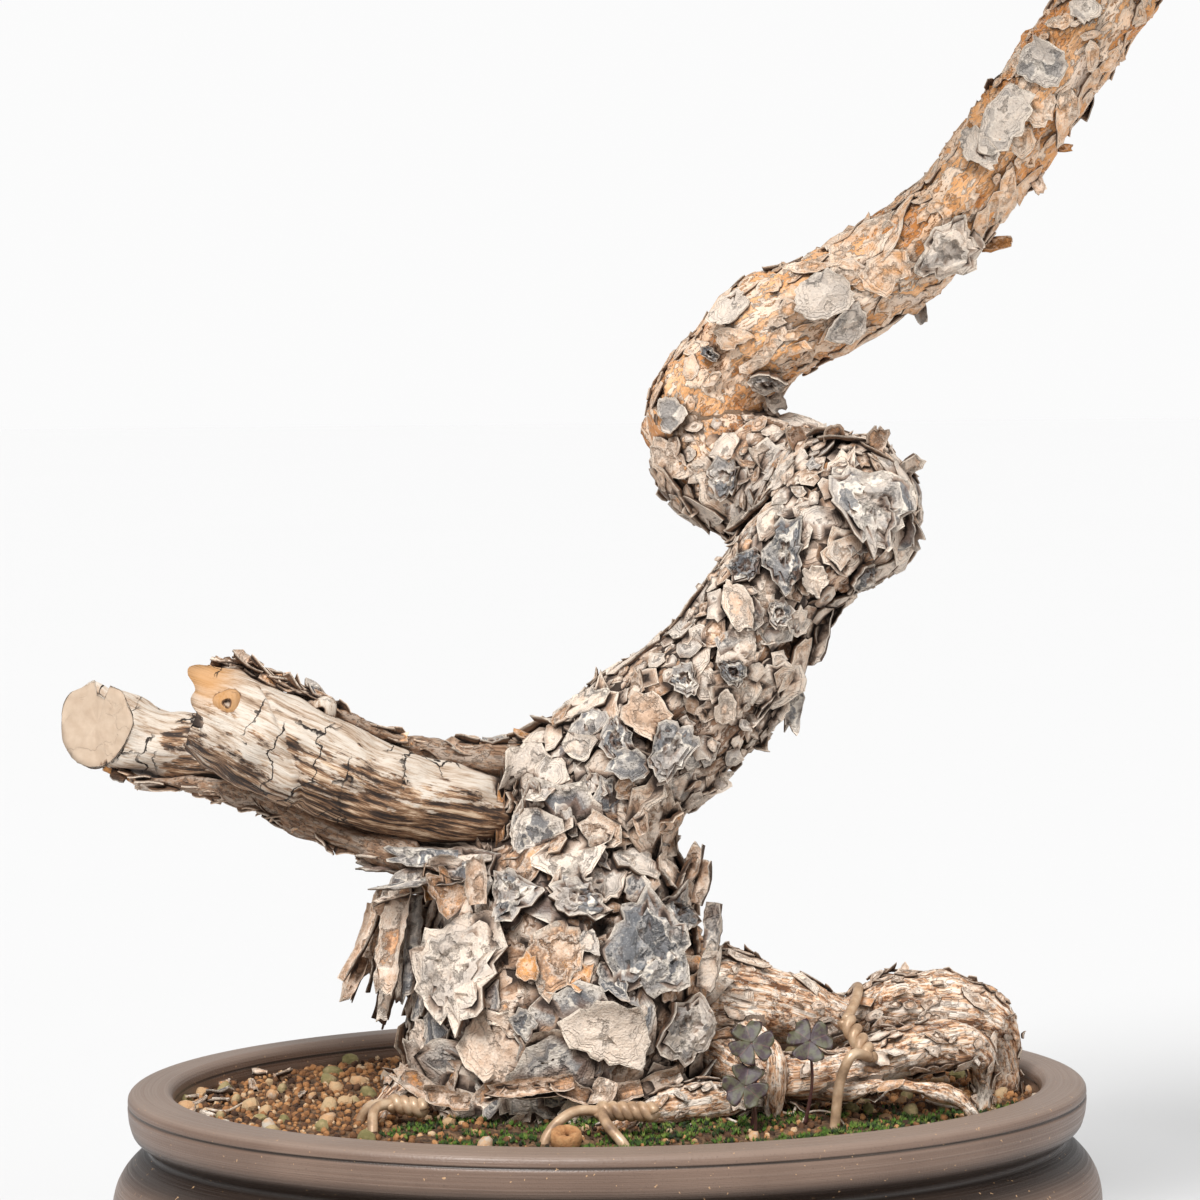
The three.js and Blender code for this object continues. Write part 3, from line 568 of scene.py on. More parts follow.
def describeCore(mesh, settings):
    at = verticesOf(mesh)
    lines, reaches, frames, numbers, ages, zones = [], [], [], [], [], []
    for number, (limb, kind) in enumerate(coreLimbs()):
        lines.append(limb.points)
        reaches.append(limb.radii)
        frames.append(np.hstack([limb.tangents, limb.sides, limb.ups, limb.along[:, None]]))
        numbers.append(np.full(len(limb.points), number))
        ages.append(np.linspace(*settings["age"][kind], len(limb.points)))
        zones.append(np.linspace(*settings["zone"][kind], len(limb.points)))
    lines, reaches, frames = np.vstack(lines), np.concatenate(reaches), np.vstack(frames)
    numbers, ages, zones = np.concatenate(numbers), np.concatenate(ages), np.concatenate(zones)
    nearest = np.empty(len(at), int)
    for start in range(0, len(at), 4000):
        gap = np.linalg.norm(at[start:start + 4000, None] - lines[None], axis=2) - reaches[None]
        nearest[start:start + 4000] = gap.argmin(axis=1)
    arm = at - lines[nearest]
    rows = frames[nearest]
    flow = np.column_stack([
        (arm * rows[:, 3:6]).sum(axis=1) + 0.31 * numbers[nearest],
        (arm * rows[:, 6:9]).sum(axis=1),
        rows[:, 9],
    ])
    normals = np.empty(len(at) * 3, np.float32)
    mesh.vertex_normals.foreach_get("vector", normals)
    setAttribute(mesh, "flow", flow, "FLOAT_VECTOR")
    setAttribute(mesh, "grain", rows[:, :3], "FLOAT_VECTOR")
    setAttribute(mesh, "outward", normals, "FLOAT_VECTOR")
    setAttribute(mesh, "age", ages[nearest])
    setAttribute(mesh, "girth", reaches[nearest])
    setAttribute(mesh, "zone", zones[nearest])


core = makeCore(coreSettings)
print("core:", len(core.data.vertices), "points")

floorSize = 14.0


def addFloor():
    material, n, surface = materialNodes("paleFloor")
    grain = n.noise(n.place(), 3.0)
    finishSurface(n, surface, n.mixed(grain, (0.694, 0.694, 0.694, 1), (0.700, 0.700, 0.700, 1)), 0.9)
    half = floorSize / 2
    corners = [(-half, -half, 0), (half, -half, 0), (half, half, 0), (-half, half, 0)]
    floor = addPiece("studioFloor", corners, [(0, 1, 2, 3)], material, smooth=False)
    floor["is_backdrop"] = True


addFloor()

# Layers of bark: where the rim of each layer runs, for the shape of the skin and for the finishes


def layersOf(n, at, start, steps, broadShare, raggedShare, broadScale=60, raggedScale=230):
    broad = n.noise(at, broadScale, 2)
    ragged = n.noise(at, raggedScale, 5, 0.7)
    level = n.swayed(n.swayed(start, broad, broadShare), ragged, raggedShare)
    raised = n.math("MULTIPLY", level, steps)
    within = n.math("FRACT", raised)
    layer = n.math("FLOOR", raised)
    height = n.math("ADD", layer, n.ramp(within, 0.0, 0.28))
    rim = n.math("MULTIPLY", n.ramp(within, 0.14, 0.26), n.ramp(within, 0.30, 0.52, 1.0, 0.0))
    # foot marks where each step rises from the layer below, where the finishes paint its shadow
    foot = n.math("ADD", n.ramp(within, 0.84, 1.0), n.ramp(within, 0.0, 0.13, 1.0, 0.0))
    return layer, height, rim, foot


def hollowShadeAndDirt(n, colour, spared=0.0):
    # Dirt and painted shade in the hollows: rust-brown in the shallow ones, painted shade near black in the deepest,
    # and less of both where spared is high.
    hollow = n.fact("hollow")
    hollow = n.math("MULTIPLY", hollow, n.math("SUBTRACT", 1.0, spared))
    colour = n.mixed(n.ramp(hollow, 0.06, 0.30, 0.0, 0.6), colour, (0.20, 0.095, 0.045, 1))
    return n.mixed(n.ramp(hollow, 0.26, 0.62, 0.0, 0.95), colour, (0.028, 0.014, 0.008, 1))


reliefSettings = {
    "Step": 0.0011,
    "Crack Depth": 0.0034,
    "Fibre Depth": 0.0017,
}


def reliefTree():
    names = [(name, "Float") for name in reliefSettings]
    tree, n, given, result = geometryTree("barkRelief", names)
    flow = n.stored("flow", "FLOAT_VECTOR")
    girth = n.stored("girth")
    zone = n.stored("zone")
    outward = n.stored("outward", "FLOAT_VECTOR")
    at = n.vector("MULTIPLY", flow, (1, 1, 0.6))
    layer, height = layersOf(n, at, 0.0, 2.6, 2.4, 2.2)[:2]
    warp = n.scaled(n.vector("SUBTRACT", n.noise(flow, 90, 3, out=1), (0.5, 0.5, 0.5)), 0.013)
    cells = n.vector("DIVIDE", n.vector("ADD", flow, warp), (0.014, 0.014, 0.021))
    border = n.add("ShaderNodeTexVoronoi", named={"Vector": cells, "Scale": 1.0}, feature="DISTANCE_TO_EDGE")
    crack = n.math("MULTIPLY", n.ramp(border, 0.0, 0.10, 1.0, 0.0), n.ramp(n.noise(flow, 40, 2), 0.42, 0.55))
    woody = n.ramp(zone, 4.4, 4.6)
    age = n.stored("age")
    crack = n.math("MULTIPLY", crack, n.math(
        "MINIMUM", n.ramp(age, 0.45, 0.65, 1.0, 0.25), n.ramp(zone, 4.4, 4.6, 1.0, 0.35)))
    fibres = n.math("SUBTRACT", n.noise(n.vector("MULTIPLY", flow, (1, 1, 0.14)), 300, 4, 0.6), 0.5)
    scaly = n.math("MULTIPLY", height, given["Step"])
    scaly = n.math("SUBTRACT", scaly, n.math("MULTIPLY", crack, given["Crack Depth"]))
    rooty = n.math("MULTIPLY_ADD", fibres, n.math("MULTIPLY", given["Fibre Depth"], 2.0),
                   n.math("MULTIPLY", scaly, 0.45))
    moved = n.add("ShaderNodeMix", woody, named={2: scaly, 3: rooty})
    moved = n.math("MULTIPLY", moved, n.ramp(girth, 0.001, 0.012, 0.35, 1.0))
    made = n.add("GeometryNodeSetPosition", given["Geometry"], None, None, n.scaled(outward, moved))
    n.tree.links.new(n.store(made, "crack", crack), result)
    return tree


def freshBark():
    # The skin between the plates: orange where it is young, grey and cream below, woody on the roots.
    material, n, surface = materialNodes("innerBark")
    flow = n.fact("flow", "Vector")
    age = n.fact("age")
    crack = n.fact("crack")
    zone = n.fact("zone")
    at = n.vector("MULTIPLY", flow, (1, 1, 0.5))
    layer, height, rim, foot = layersOf(n, at, 0.0, 3.4, 1.8, 2.0, 70, 260)
    own = n.add("ShaderNodeTexWhiteNoise", named={"W": layer}, noise_dimensions="1D")
    fine = n.noise(n.vector("MULTIPLY", flow, (1, 1, 0.35)), 1300, 3)
    patches = n.noise(flow, 48, 3)
    shade = n.swayed(own, patches, 1.1)
    old = colourRamp(n, shade, [
        (0.02, (0.14, 0.075, 0.045)), (0.22, (0.32, 0.20, 0.13)), (0.42, (0.56, 0.40, 0.29)),
        (0.62, (0.66, 0.53, 0.43)), (0.82, (0.42, 0.38, 0.35)), (1.0, (0.58, 0.29, 0.12)),
    ])
    young = colourRamp(n, shade, [
        (0.02, (0.64, 0.25, 0.065)), (0.20, (0.88, 0.46, 0.20)), (0.42, (0.94, 0.62, 0.40)),
        (0.62, (0.95, 0.73, 0.55)), (0.82, (0.84, 0.66, 0.53)), (1.0, (0.58, 0.46, 0.37)),
    ])
    colour = n.mixed(n.ramp(n.math("ADD", age, n.math("MULTIPLY", patches, 0.5)), 0.5, 0.95), old, young)
    streaks = n.noise(n.vector("MULTIPLY", flow, (1, 1, 0.13)), 700, 4, 0.65)
    flecks = n.noise(n.vector("MULTIPLY", flow, (1, 1, 0.35)), 330, 4, 0.7)
    root = colourRamp(n, n.swayed(streaks, flecks, 0.9), [
        (0.36, (0.16, 0.065, 0.025)), (0.44, (0.60, 0.31, 0.155)), (0.51, (0.84, 0.58, 0.39)),
        (0.60, (0.94, 0.82, 0.70)),
    ])
    colour = n.mixed(n.math("MULTIPLY", n.ramp(zone, 4.4, 4.6), 0.9), colour, root)
    colour = n.mixed(n.math("MULTIPLY", rim, 0.5), colour, (0.80, 0.70, 0.60, 1))
    # painted shadow at the foot of each step
    colour = n.mixed(n.math("MULTIPLY", foot, 0.50), colour, (0.17, 0.075, 0.038, 1))
    colour = n.mixed(n.ramp(fine, 0.56, 0.72, 0.0, 0.35), colour, (0.22, 0.14, 0.095, 1))
    # the cracks painted near black: painted shade in them
    colour = n.mixed(n.ramp(crack, 0.15, 0.8, 0.0, 0.95), colour, (0.018, 0.009, 0.006, 1))
    colour = n.mixed(n.ramp(zone, 5.4, 5.6, 0.0, 0.72), colour,
                     n.mixed(streaks, (0.02, 0.01, 0.006, 1), (0.30, 0.18, 0.11, 1)))
    # dirt and painted shade in the hollows
    colour = hollowShadeAndDirt(n, colour, n.math("MAXIMUM", n.ramp(age, 0.45, 0.7, 0.0, 0.7), n.ramp(zone, 4.4, 4.6, 0.0, 0.45)))
    bump = n.math("MULTIPLY_ADD", fine, 0.5, n.math("MULTIPLY_ADD", streaks, 1.2, height))
    finishSurface(n, surface, colour, 0.85, bump, 0.0006)
    return material


# Bark plates: flat ragged shapes, laid on the core and bent to it

shapeSettings = {
    # each ring: share of the outline, height as a share of the thickness
    "flakes": {"count": 16, "corners": 18, "ragged": 0.30, "seed": 3,
               "rings": [(0.45, 0.75), (0.86, 0.8), (1.0, 0.95)]},
    "slabs": {"count": 10, "corners": 30, "ragged": 0.15, "seed": 6,
              "rings": [(0.3, 0.55), (0.6, 0.6), (0.84, 0.8), (0.94, 1.0), (1.0, 0.95)]},
    "chips": {"count": 14, "corners": 9, "ragged": 0.38, "seed": 8, "rings": [(1.0, 0.6)]},
    "rosettes": {"count": 12, "corners": 28, "ragged": 0.22, "seed": 5,
                 "rings": [(0.24, 0.35), (0.34, 0.5), (0.40, 1.0), (0.56, 1.05), (0.62, 0.70), (0.78, 0.75),
                           (0.82, 0.45), (1.0, 0.65)]},
}


def makeShapes(name, settings):
    draw = random.Random(settings["seed"])
    shelf = bpy.data.collections.new(name)
    corners = settings["corners"]
    for k in range(settings["count"]):
        angles = [2 * math.pi * (i + draw.uniform(-0.42, 0.42)) / corners for i in range(corners)]
        waves = [(m, draw.uniform(0.02, 0.34 / m), draw.uniform(0, 6.3)) for m in (2, 3, 5, 7)]
        outline = [1 + sum(h * math.sin(m * a + p) for m, h, p in waves) for a in angles]
        outline = [r * draw.uniform(1 - settings["ragged"], 1.06) for r in outline]
        points, leaf, edge = [(0, 0, 0)], [(0, 0, 0.9)], [0.0]
        rings = [*settings["rings"], (0.95, -0.4)]
        for share, height in rings:
            for a, r in zip(angles, outline):
                reach = r * share * (1 if share > 0.9 else draw.uniform(0.84, 1.12))
                u, v = reach * math.cos(a), reach * math.sin(a)
                points.append((u, v, 0))
                leaf.append((u, v, height + draw.uniform(-0.12, 0.12)))
                # The underside ring and its middle get edge shares above 1, which the bark's finish paints as shade.
                edge.append(share if height >= 0 else 1.5)
        points.append((0, 0, 0))
        leaf.append((0, 0, -0.4))
        edge.append(2.0)
        last = len(points) - 1
        faces = []
        for i in range(corners):
            j = (i + 1) % corners
            faces.append((0, 1 + i, 1 + j))
            faces.append((last, last - corners + j, last - corners + i))
            for ring in range(len(rings) - 1):
                a, b = 1 + ring * corners, 1 + (ring + 1) * corners
                faces.append((a + i, b + i, b + j, a + j))
        shape = addPiece(f"{name}{k:02d}", points, faces)
        setAttribute(shape.data, "leaf", leaf, "FLOAT_VECTOR")
        setAttribute(shape.data, "edge", edge)
        shelve(shape, shelf)
    return shelf


plateFloats = ("Spacing", "Bare", "Width", "Length", "Thickness", "Rise", "Curl", "Stiffness", "From", "To",
               "Tone Low", "Tone High")
plateInputs = [("Placed", "Object"), ("Clear Of", "Object"), ("Shapes", "Collection"),
               *((name, "Float") for name in plateFloats), ("Seed", "Int"), ("Material", "Material")]


def plateTree():
    tree, n, given, result = geometryTree("barkPlates", plateInputs)
    chance = n.chances(given)
    core = given["Geometry"]
    zone = n.stored("zone")
    inside = n.math("MULTIPLY", n.math("GREATER_THAN", zone, given["From"]), n.math("LESS_THAN", zone, given["To"]))
    here = n.add("GeometryNodeInputPosition")
    clump = n.noise(n.vector("ADD", here, n.add("ShaderNodeCombineXYZ", given["Seed"])), 75, 2)
    inside = n.math("MULTIPLY", inside, n.ramp(n.math("SUBTRACT", clump, given["Bare"]), 0.0, 0.06))
    taken = n.add("GeometryNodeObjectInfo", given["Clear Of"], out="Geometry")
    closest = n.add("GeometryNodeSampleNearest", taken, here, domain="POINT")
    large = n.add("GeometryNodeSampleIndex", taken, n.stored("span", "FLOAT_VECTOR"), closest,
                  data_type="FLOAT_VECTOR")
    large = n.add("ShaderNodeSeparateXYZ", large, out=None).outputs
    taken = n.add("GeometryNodeProximity", taken, named={"Source Position": here}, out=1, target_element="POINTS")
    taken = n.math("DIVIDE", taken, n.math("ADD", large[0], large[1]))
    inside = n.math("MULTIPLY", inside, n.ramp(taken, 0.17, 0.23))
    scatter = n.scattered(given, core, inside)
    points = scatter["Points"]
    size = n.ramp(n.stored("girth"), 0.003, 0.022, 0.5, 1.1)
    size = n.math("MULTIPLY", size, n.math("MULTIPLY_ADD", n.math("POWER", chance(1, 0.0, 1.0), 2.0), 1.05, 0.6))
    across = n.math("MULTIPLY", n.math("MULTIPLY", given["Width"], chance(9, 0.75, 1.25)), size)
    along = n.math("MULTIPLY", n.math("MULTIPLY", given["Length"], chance(2, 0.75, 1.25)), size)
    turn = chance(3, -3.14, 3.14)
    lean = n.add("ShaderNodeCombineXYZ", n.math("COSINE", turn), n.math("SINE", turn))
    points = n.store(points, "span", n.add("ShaderNodeCombineXYZ", across, along, 1.0), "FLOAT_VECTOR")
    points = n.store(points, "out", scatter["Normal"], "FLOAT_VECTOR")
    points = n.store(points, "lean", lean, "FLOAT_VECTOR")
    points = n.store(points, "twist", chance(4, -0.7, 0.7))
    points = n.store(points, "tone", chance(5, given["Tone Low"], given["Tone High"]))
    points = n.store(points, "rise", n.math("MULTIPLY", given["Rise"], chance(6, 0.0, 1.0)))
    points = n.store(points, "curl", n.math("MULTIPLY", given["Curl"], n.math("POWER", chance(7, 0.0, 1.0), 2.0)))
    points = n.store(points, "stiff", n.math("MULTIPLY", given["Stiffness"], chance(8, 0.0, 1.0)))
    placed = n.add("GeometryNodeObjectInfo", given["Placed"], out="Geometry")
    points = n.join(points, n.add("GeometryNodeMeshToPoints", placed))
    turned = n.add("FunctionNodeAlignRotationToVector", named={"Vector": n.stored("out", "FLOAT_VECTOR")}, axis="Z")
    turned = n.add(
        "FunctionNodeAlignRotationToVector", turned, named={"Vector": n.stored("grain", "FLOAT_VECTOR")},
        axis="Y", pivot_axis="Z")
    spin = n.add("FunctionNodeAxisAngleToRotation", (0, 0, 1), n.stored("twist"))
    turned = n.add("FunctionNodeRotateRotation", turned, spin, rotation_space="LOCAL")
    shapes = n.add("GeometryNodeCollectionInfo", given["Shapes"], True, True)
    half = n.scaled(n.stored("span", "FLOAT_VECTOR"), 0.5)
    made = n.add(
        "GeometryNodeInstanceOnPoints", points, None, shapes, True,
        named={"Rotation": turned, "Scale": half})
    made = n.add("GeometryNodeRealizeInstances", made)
    # Each point goes down to the core's surface and then up by its own height.
    leaf = n.stored("leaf", "FLOAT_VECTOR")
    here = n.add("GeometryNodeInputPosition")
    below = n.add("GeometryNodeProximity", core, named={"Source Position": here})
    facing = n.add(
        "GeometryNodeSampleNearestSurface", core, n.stored("outward", "FLOAT_VECTOR"),
        named={"Sample Position": here}, data_type="FLOAT_VECTOR")
    raised = n.math("MAXIMUM", n.vector("DOT_PRODUCT", leaf, n.stored("lean", "FLOAT_VECTOR"), out=1), 0.0)
    height = n.math("MULTIPLY_ADD", n.math("MULTIPLY", raised, raised), n.stored("curl"), n.stored("rise"))
    height = n.math("MULTIPLY_ADD", n.add("ShaderNodeSeparateXYZ", leaf, out=2), given["Thickness"], height)
    wave = n.math("SUBTRACT", n.noise(here, 190, 3, 0.6), 0.46)
    height = n.math("MULTIPLY_ADD", wave, n.math("MULTIPLY", given["Thickness"], 2.4), height)
    bent = n.vector("ADD", below, n.scaled(facing, height))
    straight = n.vector("ADD", here, n.scaled(n.stored("out", "FLOAT_VECTOR"), height))
    made = n.add("GeometryNodeSetPosition", made, None, n.blended(n.stored("stiff"), bent, straight))
    made = n.add("GeometryNodeSetMaterial", made, None, given["Material"])
    n.tree.links.new(made, result)
    return tree


def weatheredBark():
    # Plates: grey, cream and tan, with blue-grey patches ringed in cream and thin layers showing at the rims.
    material, n, surface = materialNodes("weatheredBark")
    at = n.place()
    tone = n.fact("tone")
    edge = n.fact("edge")
    age = n.fact("age")
    calm = n.fact("calm")
    calm = n.math("MAXIMUM", calm, n.ramp(age, 0.5, 0.7, 0.0, 0.5))
    plain = n.math("SUBTRACT", 1.0, calm)
    layer, height, rim, foot = layersOf(n, at, n.math("MULTIPLY", edge, 0.35), 1.9, 1.3, 1.1, 80, 230)
    named = {"W": n.math("MULTIPLY_ADD", tone, 37.0, layer)}
    own = n.add("ShaderNodeTexWhiteNoise", named=named, noise_dimensions="1D")
    fine = n.noise(at, 1500, 3)
    middle = n.noise(at, 270, 4, 0.65)
    patch = n.noise(at, 105, 3, 0.5)
    varied = n.math("MULTIPLY", n.math("SUBTRACT", own, 0.45), n.ramp(calm, 0.0, 1.0, 0.30, 0.08))
    shade = n.math("ADD", tone, varied)
    shade = n.math("MULTIPLY_ADD", n.math("SUBTRACT", middle, 0.5), n.ramp(calm, 0.0, 1.0, 0.65, 0.3), shade)
    colour = colourRamp(n, shade, [
        (0.00, (0.095, 0.095, 0.100)), (0.12, (0.23, 0.22, 0.215)), (0.25, (0.42, 0.375, 0.34)),
        (0.40, (0.68, 0.58, 0.49)), (0.54, (0.84, 0.69, 0.56)), (0.67, (0.68, 0.46, 0.315)),
        (0.77, (0.27, 0.155, 0.090)), (0.87, (0.80, 0.47, 0.27)), (0.97, (0.78, 0.34, 0.09)),
    ])
    fresh = n.mixed(n.ramp(middle, 0.35, 0.6), (0.84, 0.42, 0.17, 1), (0.96, 0.74, 0.56, 1))
    colour = n.mixed(n.ramp(age, 0.5, 0.68, 0.0, 0.8), colour, fresh)
    inside = n.math("MULTIPLY", n.ramp(edge, 0.74, 0.90, 0.9, 0.0), n.ramp(tone, 0.28, 0.42, 1.0, 0.0))
    slate = n.mixed(middle, (0.050, 0.055, 0.065, 1), (0.27, 0.275, 0.285, 1))
    colour = n.mixed(n.math("MULTIPLY", inside, n.ramp(patch, 0.515, 0.535)), colour, slate)
    ring = n.math("MULTIPLY", n.ramp(patch, 0.46, 0.50), n.ramp(patch, 0.51, 0.535, 1.0, 0.0))
    colour = n.mixed(n.math("MULTIPLY", n.math("MULTIPLY", ring, inside), 0.8), colour, (0.95, 0.86, 0.74, 1))
    # thin layers round the rim, with painted shadow in the lines between them
    bent = n.math("MULTIPLY_ADD", middle, 0.9, n.math("MULTIPLY", edge, 2.6))
    within = n.math("FRACT", n.math("MULTIPLY", bent, 3.0))
    lines = n.math("MULTIPLY", n.ramp(within, 0.72, 0.95), n.ramp(edge, 0.5, 0.75))
    colour = n.mixed(n.math("MULTIPLY", rim, n.math("MULTIPLY", plain, 0.4)), colour, (0.92, 0.82, 0.71, 1))
    colour = n.mixed(n.ramp(edge, 0.86, 1.0, 0.0, 0.6), colour, (0.92, 0.80, 0.66, 1))
    # painted shadow at the foot of each step and in the lines between the thin layers
    stepShadows = n.math("MULTIPLY", n.math("MAXIMUM", foot, lines), n.math("MULTIPLY_ADD", plain, 0.34, 0.06))
    colour = n.mixed(stepShadows, colour, (0.075, 0.040, 0.023, 1))
    colour = n.mixed(n.ramp(fine, 0.56, 0.72, 0.0, 0.4), colour, (0.12, 0.09, 0.075, 1))
    colour = n.mixed(n.ramp(fine, 0.44, 0.32, 0.0, 0.25), colour, (0.86, 0.80, 0.73, 1))
    # The sides and undersides of the plates, dark brown to near black: painted shade.
    undersideShade = n.mixed(middle, (0.030, 0.015, 0.008, 1), (0.17, 0.095, 0.055, 1))
    colour = n.mixed(n.ramp(edge, 1.03, 1.3), colour, undersideShade)
    # dirt and painted shade in the hollows
    colour = hollowShadeAndDirt(n, colour, n.ramp(age, 0.45, 0.7, 0.0, 0.7))
    height = n.math("MULTIPLY_ADD", lines, -0.3, n.math("MULTIPLY_ADD", fine, 0.5, height))
    finishSurface(n, surface, colour, 0.8, height, 0.0009)
    return material


def laidOn(core, tree, name, values):
    piece = bpy.data.objects.new(name, core.data.copy())
    bpy.context.scene.collection.objects.link(piece)
    grow(piece, tree, values)
    piece.data.shade_smooth()
    return piece


def joined(pieces, name):
    for piece in pieces:
        if not piece.users_collection:
            bpy.context.scene.collection.objects.link(piece)
    with bpy.context.temp_override(active_object=pieces[0], selected_editable_objects=pieces):
        bpy.ops.object.join()
    pieces[0].name = pieces[0].data.name = name
    return pieces[0]


# Plates that show in the picture: where the camera sees each one, its size, and how it lies

pictureSide = 1200
axes = np.array(camera.matrix_world.to_3x3())
eye = np.array(camera.matrix_world.translation)


def sightLine(across, down):
    focal = viewSettings["lens"] / 36 * pictureSide
    return unit(axes @ np.array([across - pictureSide / 2, pictureSide / 2 - down, -focal]))


def placedPlates(name, surface, rows):
    # rows: picture across and down, width, length (mm), angle on the picture, tone, rise and curl (mm), stiffness
    draw = random.Random(name)
    kinds = dict.fromkeys(("out", "grain", "span", "lean"), "FLOAT_VECTOR")
    spots, facts = [], {fact: [] for fact in (*kinds, "tone", "rise", "curl", "stiff", "calm")}
    for across, down, width, length, angle, tone, rise, curl, stiff in rows:
        spot, normal = surface.ray_cast(Vector(eye), Vector(sightLine(across, down)))[:2]
        turn = math.radians(angle)
        grain = axes @ np.array([math.cos(turn), math.sin(turn), 0])
        swing = draw.uniform(0, 6.28)
        spots.append(spot)
        facts["out"].append(unit(np.array(normal) + 0.5 * axes[:, 2]))
        facts["grain"].append(grain)
        facts["span"].append((width * 0.001, length * 0.001, 0.001))
        facts["lean"].append((math.cos(swing), math.sin(swing), 0))
        facts["tone"].append(tone)
        facts["rise"].append(rise * 0.001)
        facts["curl"].append(curl * 0.001)
        facts["stiff"].append(stiff)
        facts["calm"].append(0.75 if name == "slabsMarks" else 0.4)
    marks = addPiece(name, spots, [])
    for fact, values in facts.items():
        setAttribute(marks.data, fact, values, kinds.get(fact, "FLOAT"))
    bpy.context.scene.collection.objects.unlink(marks)
    return marks


passSizes = ("Spacing", "Bare", "Width", "Length", "Thickness", "Rise", "Curl", "Stiffness", "Tone Low", "Tone High")
barkPasses = [  # name, shapes, zones, and the sizes in the order of passSizes, in metres
    ("base", "flakes", (-1, 1.15), (0.01, 0.34, 0.018, 0.021, 0.0015, 0.004, 0.0065, 0.5, 0.16, 0.8)),
    ("baseSmall", "flakes", (-1, 1.3), (0.0064, 0.38, 0.0085, 0.011, 0.0011, 0.0042, 0.0045, 0.5, 0.05, 0.92)),
    ("lower", "flakes", (1.15, 3), (0.008, 0.32, 0.0135, 0.0165, 0.001, 0.0013, 0.0034, 0.35, 0.36, 0.64)),
    ("lowerChips", "chips", (-1, 3), (0.0037, 0.38, 0.0062, 0.0074, 0.0009, 0.0017, 0.0026, 0.5, 0.36, 0.68)),
    ("upper", "flakes", (3, 4.5), (0.0088, 0.45, 0.0095, 0.0185, 0.0008, 0.0008, 0.0022, 0.3, 0.4, 0.92)),
    ("upperChips", "chips", (3, 4.5), (0.004, 0.47, 0.0044, 0.0105, 0.0007, 0.001, 0.0022, 0.4, 0.5, 0.98)),
    ("rootChips", "chips", (4.5, 5.5), (0.0036, 0.42, 0.0042, 0.0095, 0.0007, 0.001, 0.003, 0.5, 0.5, 0.76)),
]


# the large plates, from the base up: picture across and down, width, length, angle, tone, rise, curl, stiffness
rosettePlates = [
    (466, 968, 32, 36, 95, 0.37, 4.4, 5, 0.6), (519, 900, 15, 18, 100, 0.20, 4.5, 4, 0.4),
    (574, 905, 17, 14, 80, 0.30, 4.5, 4, 0.4), (638, 948, 24, 34, 95, 0.16, 4.5, 5, 0.5),
    (656, 916, 16, 15, 60, 0.22, 6.5, 4, 0.4), (675, 1028, 21, 21, 60, 0.34, 5.0, 5, 0.5),
    (621, 740, 13, 9, 20, 0.24, 2.0, 3, 0.3), (686, 681, 10, 9, 30, 0.18, 1.8, 3, 0.3),
    (732, 671, 8, 8, 0, 0.10, 2.0, 3, 0.3), (670, 748, 12, 20, 60, 0.22, 2.4, 4, 0.4),
    (785, 556, 13, 21, 80, 0.06, 2.6, 4, 0.4), (750, 571, 8, 12, 70, 0.12, 2.2, 3, 0.4),
    (866, 508, 26, 27, 70, 0.30, 3.0, 6, 0.5), (858, 572, 11, 10, 60, 0.30, 2.0, 3, 0.3),
    (776, 613, 8, 7, 0, 0.20, 2.0, 2, 0.3), (731, 478, 13, 12, 30, 0.22, 1.8, 3, 0.3),
    (945, 248, 15, 22, 60, 0.36, 1.6, 3, 0.2), (714, 354, 5, 6, 0, 0.16, 1.4, 2, 0.2),
    (767, 377, 10, 11, 0, 0.33, 1.5, 3, 0.2),
]
slabPlates = [
    (604, 1030, 24, 20, 75, 0.52, 6.0, 4, 0.7), (500, 1043, 24, 18, 20, 0.58, 2.6, 4, 0.3),
    (433, 1040, 12, 13, 90, 0.56, 3.0, 4, 0.3), (548, 1050, 15, 13, 120, 0.62, 2.4, 4, 0.3),
    (530, 770, 16, 19, 110, 0.47, 1.2, 3, 0.2), (566, 716, 13, 17, 40, 0.42, 1.2, 3, 0.2),
    (651, 718, 16, 13, 40, 0.66, 2.2, 3, 0.3), (723, 705, 11, 7, 10, 0.60, 2.0, 3, 0.3),
    (812, 578, 8, 10, 90, 0.48, 1.8, 3, 0.3), (738, 608, 16, 7, 20, 0.60, 1.8, 3, 0.3),
    (752, 616, 8, 5, 0, 0.33, 2.0, 2, 0.3), (1005, 119, 14, 21, 60, 0.36, 1.3, 3, 0.15),
    (1043, 64, 14, 15, 60, 0.34, 1.3, 3, 0.15), (1087, 10, 9, 7, 60, 0.36, 1.2, 2, 0.15),
    (824, 296, 12, 21, 10, 0.38, 1.3, 3, 0.2), (846, 322, 12, 13, 40, 0.34, 1.3, 3, 0.2),
    (736, 310, 10, 12, 60, 0.40, 1.4, 3, 0.2), (676, 415, 11, 11, 60, 0.34, 1.6, 3, 0.3),
    (981, 148, 14, 10, 30, 0.38, 1.3, 3, 0.15),
]

shelves = {name: makeShapes(name, settings) for name, settings in shapeSettings.items()}
plates = plateTree()
weathered = weatheredBark()
inner = freshBark()
crisp = math.radians(36)  # edges sharper than this keep a hard line

barkSkin = laidOn(core, reliefTree(), "trunkBark", reliefSettings)
barkSkin.data.materials.append(inner)
bark = [barkSkin]

